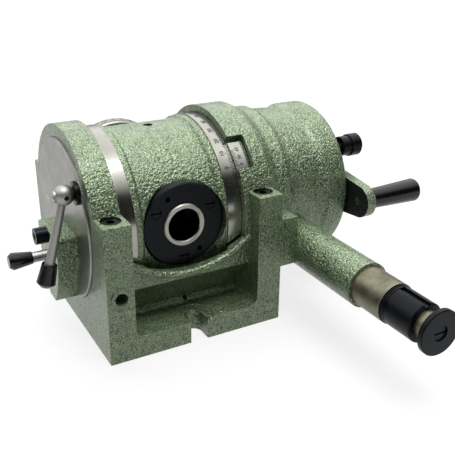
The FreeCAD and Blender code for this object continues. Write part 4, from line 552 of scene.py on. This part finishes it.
def wrap_band(bm, radius, edge):
    """Bends a flat scale round the swivel axis: x runs up the rear of the head, y from an edge to -X."""
    zero = bpy.context.scene.dividing_head_scales.band_zero
    for vert in bm.verts:
        along, up, out = vert.co
        angle = zero + along / radius
        reach = radius + out
        vert.co = (edge - up, SWIVEL.y - reach * math.cos(angle), SWIVEL.z + reach * math.sin(angle))


def wrap_dial(bm, radius, edge):
    """Bends a flat scale round the spindle: x runs from the top towards +X, y from an edge to the nose."""
    for vert in bm.verts:
        along, up, out = vert.co
        angle = along / radius
        reach = radius + out
        vert.co = (SPINDLE.x + reach * math.sin(angle), edge + up, SPINDLE.z + reach * math.cos(angle))


def dress_nodes(material, *names):
    """Gives CAD nodes their material."""
    for name in names:
        node = frame["nodes"][name]
        node.data.materials.clear()
        node.data.materials.append(material)


# Operators

class Enamel(bpy.types.Operator):
    """Hammered green enamel on the castings"""
    bl_idname = "dividing_head.enamel"
    bl_label = "Enamel"

    def execute(self, context):
        sizes = context.scene.dividing_head_surfaces
        dress_nodes(hammered_enamel(), "base_casting", "drum_casting", "worm_end_block")
        joined = hammered_enamel("Hammered enamel over the seams", seams=sizes.seam_places)
        dress_nodes(joined, "gear_housing")
        low, _ = node_box("crank_arm")
        # The arm's bare face is painted near black: bare steel and painted shade together.
        arm = hammered_enamel("Hammered enamel with a bare face", bare_plane=low.x + sizes.bare_depth)
        dress_nodes(arm, "crank_arm")
        return {"FINISHED"}


class Steel(bpy.types.Operator):
    """Bare, ground and turned steel"""
    bl_idname = "dividing_head.steel"
    bl_label = "Steel"

    def execute(self, context):
        finish = context.scene.dividing_head_finishes
        about_x = turned_steel("Turned steel about the swivel axis", finish.steel, "X", SWIVEL, 0.34,
                               dark=0.75)
        dress_nodes(about_x, "left_journal_disc", "right_journal", "crank_shaft", "plate_sleeve",
                    "index_plate", "plate_cross_gear", "crank_spur_gear", "worm_spur_gear", "worm_shaft")
        bands = turned_steel("Turned scale bands", finish.scale_steel, "X", SWIVEL, 0.18,
                             groove=0.5, dark=0.85)
        dress_nodes(bands, "plain_band", "degree_band", "vernier_plate")
        # The spindle's bore is painted dark, as painted shade inside it.
        about_y = turned_steel("Turned steel about the spindle", finish.scale_steel, "Y", SPINDLE, 0.26,
                               bore=context.scene.dividing_head_surfaces.bore_radius)
        dress_nodes(about_y, "spindle", "nose_bearing_carrier", "bearing_outer_rings",
                    "bearing_inner_rings", "bearing_rollers")
        dial = turned_steel("Satin dial", finish.scale_steel, "Y", SPINDLE, 0.42, groove=0.3, dark=0.9)
        dress_nodes(dial, "indexing_dial")
        sleeve = turned_steel("Oiled sleeve steel", finish.sleeve_steel, "Y", INPUT, 0.4,
                              groove=0.9, dark=0.45)
        dress_nodes(sleeve, "input_sleeve", "input_shaft", "input_cross_gear")
        satin = turned_steel("Satin lever steel", finish.lever_steel, "Z", SWIVEL, 0.44,
                             groove=0.2, dark=0.9)
        dress_nodes(satin, "lock_ball_hub", "lock_lever_rod", "lock_stud_end", "pull_pin_rod")
        dress_nodes(blackened_steel("Oil-blacked collar steel", 0.3), "lock_stud")
        dress_nodes(ground_steel("Ground steel", finish.steel, 0.28), "handle_stud", "plunger_pin",
                    "plunger_spring", "clamp_shoes", "sector_arm_fixed", "sector_arm_moving")
        return {"FINISHED"}


class BlackParts(bpy.types.Operator):
    """Blackened steel and black plastic"""
    bl_idname = "dividing_head.black_parts"
    bl_label = "Black parts"

    def execute(self, context):
        dress_nodes(blackened_steel("Blackened steel", 0.36), "rear_bearing_cap", "cap_screws",
                    "clamp_screws", "thrust_screw", "change_gear_collar", "input_key", "grooved_ring",
                    "end_washer", "end_screw", "carrier_screws", "lug_screws", "crank_nut",
                    "plunger_sleeve", "plunger_knob", "sector_spring_clip")
        dress_nodes(moulded_plastic("Moulded phenolic plastic"), "handle_grip", "lock_lever_grip",
                    "pull_pin_grip")
        return {"FINISHED"}


class Bronze(bpy.types.Operator):
    """Bronze bushes and wheel, brass plugs"""
    bl_idname = "dividing_head.bronze"
    bl_label = "Bronze and brass"

    def execute(self, context):
        finish = context.scene.dividing_head_finishes
        dress_nodes(turned_bronze("Bearing bronze", finish.bronze), "worm_wheel", "worm_bushes",
                    "crank_shaft_bush", "housing_bush")
        dress_nodes(turned_bronze("Turned brass", finish.brass), "brass_plugs")
        return {"FINISHED"}


class DegreeScale(bpy.types.Operator):
    """Degree lines and digits on the band of the drum"""
    bl_idname = "dividing_head.degree_scale"
    bl_label = "Degree scale"

    def execute(self, context):
        marks = ((10, 5.5 * MM), (5, 4.5 * MM), (1, 3.0 * MM))
        first, last = -10, 95
        _, high = node_box("degree_band")
        radius = high.z - SWIVEL.z
        drawn = draw_scale(math.radians(1) * radius, range(first, last + 1), marks,
                           [(degree, str(abs(degree))) for degree in range(first, last + 1, 10)],
                           context.scene.dividing_head_scales.digit_height, 7.8 * MM)
        wrap_band(drawn, radius, high.x)
        finish_piece(drawn, "degree_scale", engraving_paint("Black paint in the degree lines"), "drum")
        return {"FINISHED"}


class VernierScale(bpy.types.Operator):
    """Vernier lines and digits on the plate in the window"""
    bl_idname = "dividing_head.vernier_scale"
    bl_label = "Vernier scale"

    def execute(self, context):
        marks = ((6, 5.0 * MM), (3, 4.0 * MM), (1, 3.0 * MM))
        # Twelve divisions span eleven degrees, so that each reads five minutes.
        divisions, span = 12, 11
        # The zero stands a little above its line, clear of the window's edge.
        digits = ((0.9, "0"), (6, "30"), (12, "60"))
        low, _ = node_box("vernier_plate")
        plate = frame["nodes"]["vernier_plate"].data
        radius = max(math.hypot(v.co.y - SWIVEL.y, v.co.z - SWIVEL.z) for v in plate.vertices)
        drawn = draw_scale(math.radians(span / divisions) * radius, range(divisions + 1), marks, digits,
                           context.scene.dividing_head_scales.small_digit_height, 7.2 * MM, side=-1)
        wrap_band(drawn, radius, low.x)
        finish_piece(drawn, "vernier_scale", engraving_paint("Black paint in the vernier lines"), "base")
        return {"FINISHED"}


class DialScale(bpy.types.Operator):
    """Lines and digits round the rim of the direct indexing dial"""
    bl_idname = "dividing_head.dial_scale"
    bl_label = "Dial scale"

    def execute(self, context):
        marks = ((10, 5.5 * MM), (5, 4.2 * MM), (1, 3.0 * MM))
        margin = 1.6 * MM
        low, high = node_box("indexing_dial")
        radius = high.z - SPINDLE.z
        drawn = draw_scale(math.radians(1) * radius, range(360), marks,
                           [(degree, str(degree)) for degree in range(0, 360, 10)],
                           context.scene.dividing_head_scales.small_digit_height, 8.2 * MM)
        wrap_dial(drawn, radius, low.y + margin)
        finish_piece(drawn, "dial_scale", engraving_paint("Black paint in the dial lines"), "spindle")
        return {"FINISHED"}


class NoseThread(bpy.types.Operator):
    """Thread round the spindle nose"""
    bl_idname = "dividing_head.nose_thread"
    bl_label = "Nose thread"

    def execute(self, context):
        pitch = 3.0 * MM
        run_out = 2.0 * MM
        root_depth = 0.2 * MM
        crest_height = 0.55 * MM
        ridge_width = 2.1 * MM
        steps = 48
        nose = next(m for m in frame["record"]["mounts"] if m["name"] == "nose_thread")
        radius = nose["dims"]["r_mm"] * MM
        middle = Vector(nose["pos_m"])
        turns = int((nose["dims"]["length_mm"] * MM - run_out) / pitch)
        start = middle.y - turns * pitch / 2
        bm = bmesh.new()
        roots = [bm.verts.new((radius - root_depth, start + side * ridge_width / 2, middle.z))
                 for side in (-1, 1)]
        crest = bm.verts.new((radius + crest_height, start, middle.z))
        edges = [bm.edges.new((roots[0], crest)), bm.edges.new((crest, roots[1]))]
        bmesh.ops.spin(bm, geom=edges + roots + [crest], cent=(0, start, middle.z), axis=(0, 1, 0),
                       dvec=(0, pitch / steps, 0), angle=-2 * math.pi * (turns - 1),
                       steps=steps * (turns - 1))
        steel = turned_steel("Cut thread", context.scene.dividing_head_finishes.steel, "Y", SPINDLE, 0.3)
        finish_piece(bm, "spindle_nose_thread", steel, "spindle")
        return {"FINISHED"}


class Stage(bpy.types.Operator):
    """Pale floor, soft lights and the camera"""
    bl_idname = "dividing_head.stage"
    bl_label = "Stage"

    def execute(self, context):
        sizes = context.scene.dividing_head_studio
        self.floor(context, sizes)
        self.lights(context, sizes)
        self.world(context, sizes)
        self.camera(context, sizes)
        context.scene.view_settings.view_transform = "Standard"
        return {"FINISHED"}

    def floor(self, context, sizes):
        """Paper that looks white, and sheds hardly any light on the object."""
        bm = bmesh.new()
        bmesh.ops.create_grid(bm, x_segments=1, y_segments=1, size=sizes.floor_size)
        mesh = bpy.data.meshes.new("floor")
        bm.to_mesh(mesh)
        bm.free()
        made = bpy.data.objects.new("floor", mesh)
        made.location.z = -sizes.floor_gap
        context.scene.collection.objects.link(made)
        paper, tree, shader, _ = new_material("Pale studio paper", Roughness=0.9)
        seen = self.any_ray(tree, "Is Camera Ray", "Is Glossy Ray", "Is Transmission Ray")
        pale = add_node(tree, "ShaderNodeMix", {0: seen}, {6: grey(0.02), 7: grey(0.92)}, data_type="RGBA")
        link_shader(tree, shader, Base_Color=pale.outputs[2])
        glow = add_node(tree, "ShaderNodeEmission", inputs={"Color": grey(1.0), "Strength": 1.0})
        share = add_node(tree, "ShaderNodeMath", {0: seen}, {1: sizes.floor_glow}, operation="MULTIPLY")
        mixed = add_node(tree, "ShaderNodeMixShader", {0: share.outputs["Value"], 1: shader.outputs["BSDF"],
                                                      2: glow.outputs["Emission"]})
        tree.links.new(mixed.outputs["Shader"], tree.nodes["Material Output"].inputs["Surface"])
        mesh.materials.append(paper)

    def any_ray(self, tree, *kinds):
        """1 for rays of any of these kinds, as the Light Path node names them, and else 0."""
        path = add_node(tree, "ShaderNodeLightPath").outputs
        found = path[kinds[0]]
        for kind in kinds[1:]:
            found = add_node(tree, "ShaderNodeMath", {0: found, 1: path[kind]},
                             operation="MAXIMUM").outputs["Value"]
        return found

    def lights(self, context, sizes):
        """A wide light above, a small one that puts glints on the metal, and a weak one in front."""
        key = bpy.data.lights.new("overhead light", "SUN")
        key.energy = sizes.key_power
        key.angle = sizes.key_spread
        glint = bpy.data.lights.new("small overhead light", "SUN")
        glint.energy = sizes.glint_power
        glint.angle = sizes.glint_spread
        front = bpy.data.lights.new("front light", "AREA")
        front.energy = sizes.side_power
        front.size = sizes.side_size
        # Only the small light is mirrored, because the wide ones would turn the bright bands white.
        for lamp, place, mirrored in ((key, sizes.key_place, False), (glint, sizes.glint_place, True),
                                      (front, sizes.side_place, False)):
            made = bpy.data.objects.new(lamp.name, lamp)
            made.location = place
            made.visible_glossy = mirrored
            made.rotation_euler = (Vector(sizes.target) - Vector(place)).to_track_quat("-Z", "Y").to_euler()
            context.scene.collection.objects.link(made)

    def world(self, context, sizes):
        """White above and darker at eye level in reflections, dim for the light that it sheds."""
        world = bpy.data.worlds.new("studio")
        context.scene.world = world
        world.use_nodes = True
        tree = world.node_tree
        way = add_node(tree, "ShaderNodeTexCoord").outputs["Generated"]
        # The brightest part of the room lies overhead and a little behind the object.
        brightest = (0.0, 0.33, 0.94)
        level = add_node(tree, "ShaderNodeVectorMath", {0: way}, {1: brightest},
                         operation="DOT_PRODUCT").outputs["Value"]
        room = add_node(tree, "ShaderNodeValToRGB", {"Fac": level},
                        stops=((0.3, grey(0.02)), (0.7, grey(1.0))))
        dim = tree.nodes["Background"]
        dim.inputs["Color"].default_value = grey(1.0)
        dim.inputs["Strength"].default_value = sizes.room_light
        mirrored = add_node(tree, "ShaderNodeBackground", {"Color": room.outputs["Color"]},
                            {"Strength": sizes.room_glow})
        white = add_node(tree, "ShaderNodeBackground", inputs={"Color": grey(1.0), "Strength": 1.0})
        glossy = add_node(tree, "ShaderNodeMixShader",
                          {0: self.any_ray(tree, "Is Glossy Ray"), 1: dim.outputs["Background"],
                           2: mirrored.outputs["Background"]})
        mixed = add_node(tree, "ShaderNodeMixShader",
                         {0: self.any_ray(tree, "Is Camera Ray", "Is Transmission Ray"),
                          1: glossy.outputs["Shader"], 2: white.outputs["Background"]})
        tree.links.new(mixed.outputs["Shader"], tree.nodes["World Output"].inputs["Surface"])

    def camera(self, context, sizes):
        """The camera at the rear and left of the head, looking down on it."""
        lens = bpy.data.cameras.new("camera")
        lens.lens = sizes.lens
        lens.shift_x, lens.shift_y = sizes.camera_shift
        made = bpy.data.objects.new("camera", lens)
        turn = Euler((math.pi / 2 - sizes.camera_fall, 0, -sizes.camera_azimuth)).to_matrix()
        made.matrix_world = Matrix.Translation(sizes.camera_place) @ (
            turn @ Matrix.Rotation(sizes.camera_roll, 3, "Z")).to_4x4()
        context.scene.collection.objects.link(made)
        context.scene.camera = made


PIECES = (Enamel, Steel, BlackParts, Bronze, DegreeScale, VernierScale, DialScale, NoseThread, Stage)

GROUPS = {
    "dividing_head_scales": ScaleSizes,
    "dividing_head_surfaces": SurfaceSizes,
    "dividing_head_finishes": Finishes,
    "dividing_head_studio": StudioSizes,
}


class DividingHeadPanel(bpy.types.Panel):
    """Lists the operators and the sizes"""
    bl_idname = "VIEW3D_PT_dividing_head"
    bl_label = "Dividing head"
    bl_space_type = "VIEW_3D"
    bl_region_type = "UI"
    bl_category = "Dividing head"

    def draw(self, context):
        for operator in PIECES:
            self.layout.operator(operator.bl_idname)
        for name, group in GROUPS.items():
            for size in group.__annotations__:
                self.layout.prop(getattr(context.scene, name), size)


def register():
    for name, group in GROUPS.items():
        bpy.utils.register_class(group)
        setattr(bpy.types.Scene, name, bpy.props.PointerProperty(type=group))
    for made in PIECES + (DividingHeadPanel,):
        bpy.utils.register_class(made)


def unregister():
    for made in reversed(PIECES + (DividingHeadPanel,)):
        bpy.utils.unregister_class(made)
    for name, group in GROUPS.items():
        delattr(bpy.types.Scene, name)
        bpy.utils.unregister_class(group)


def main():
    register()
    for operator in PIECES:
        area, name = operator.bl_idname.split(".")
        getattr(getattr(bpy.ops, area), name)()


if __name__ == "__main__":
    main()
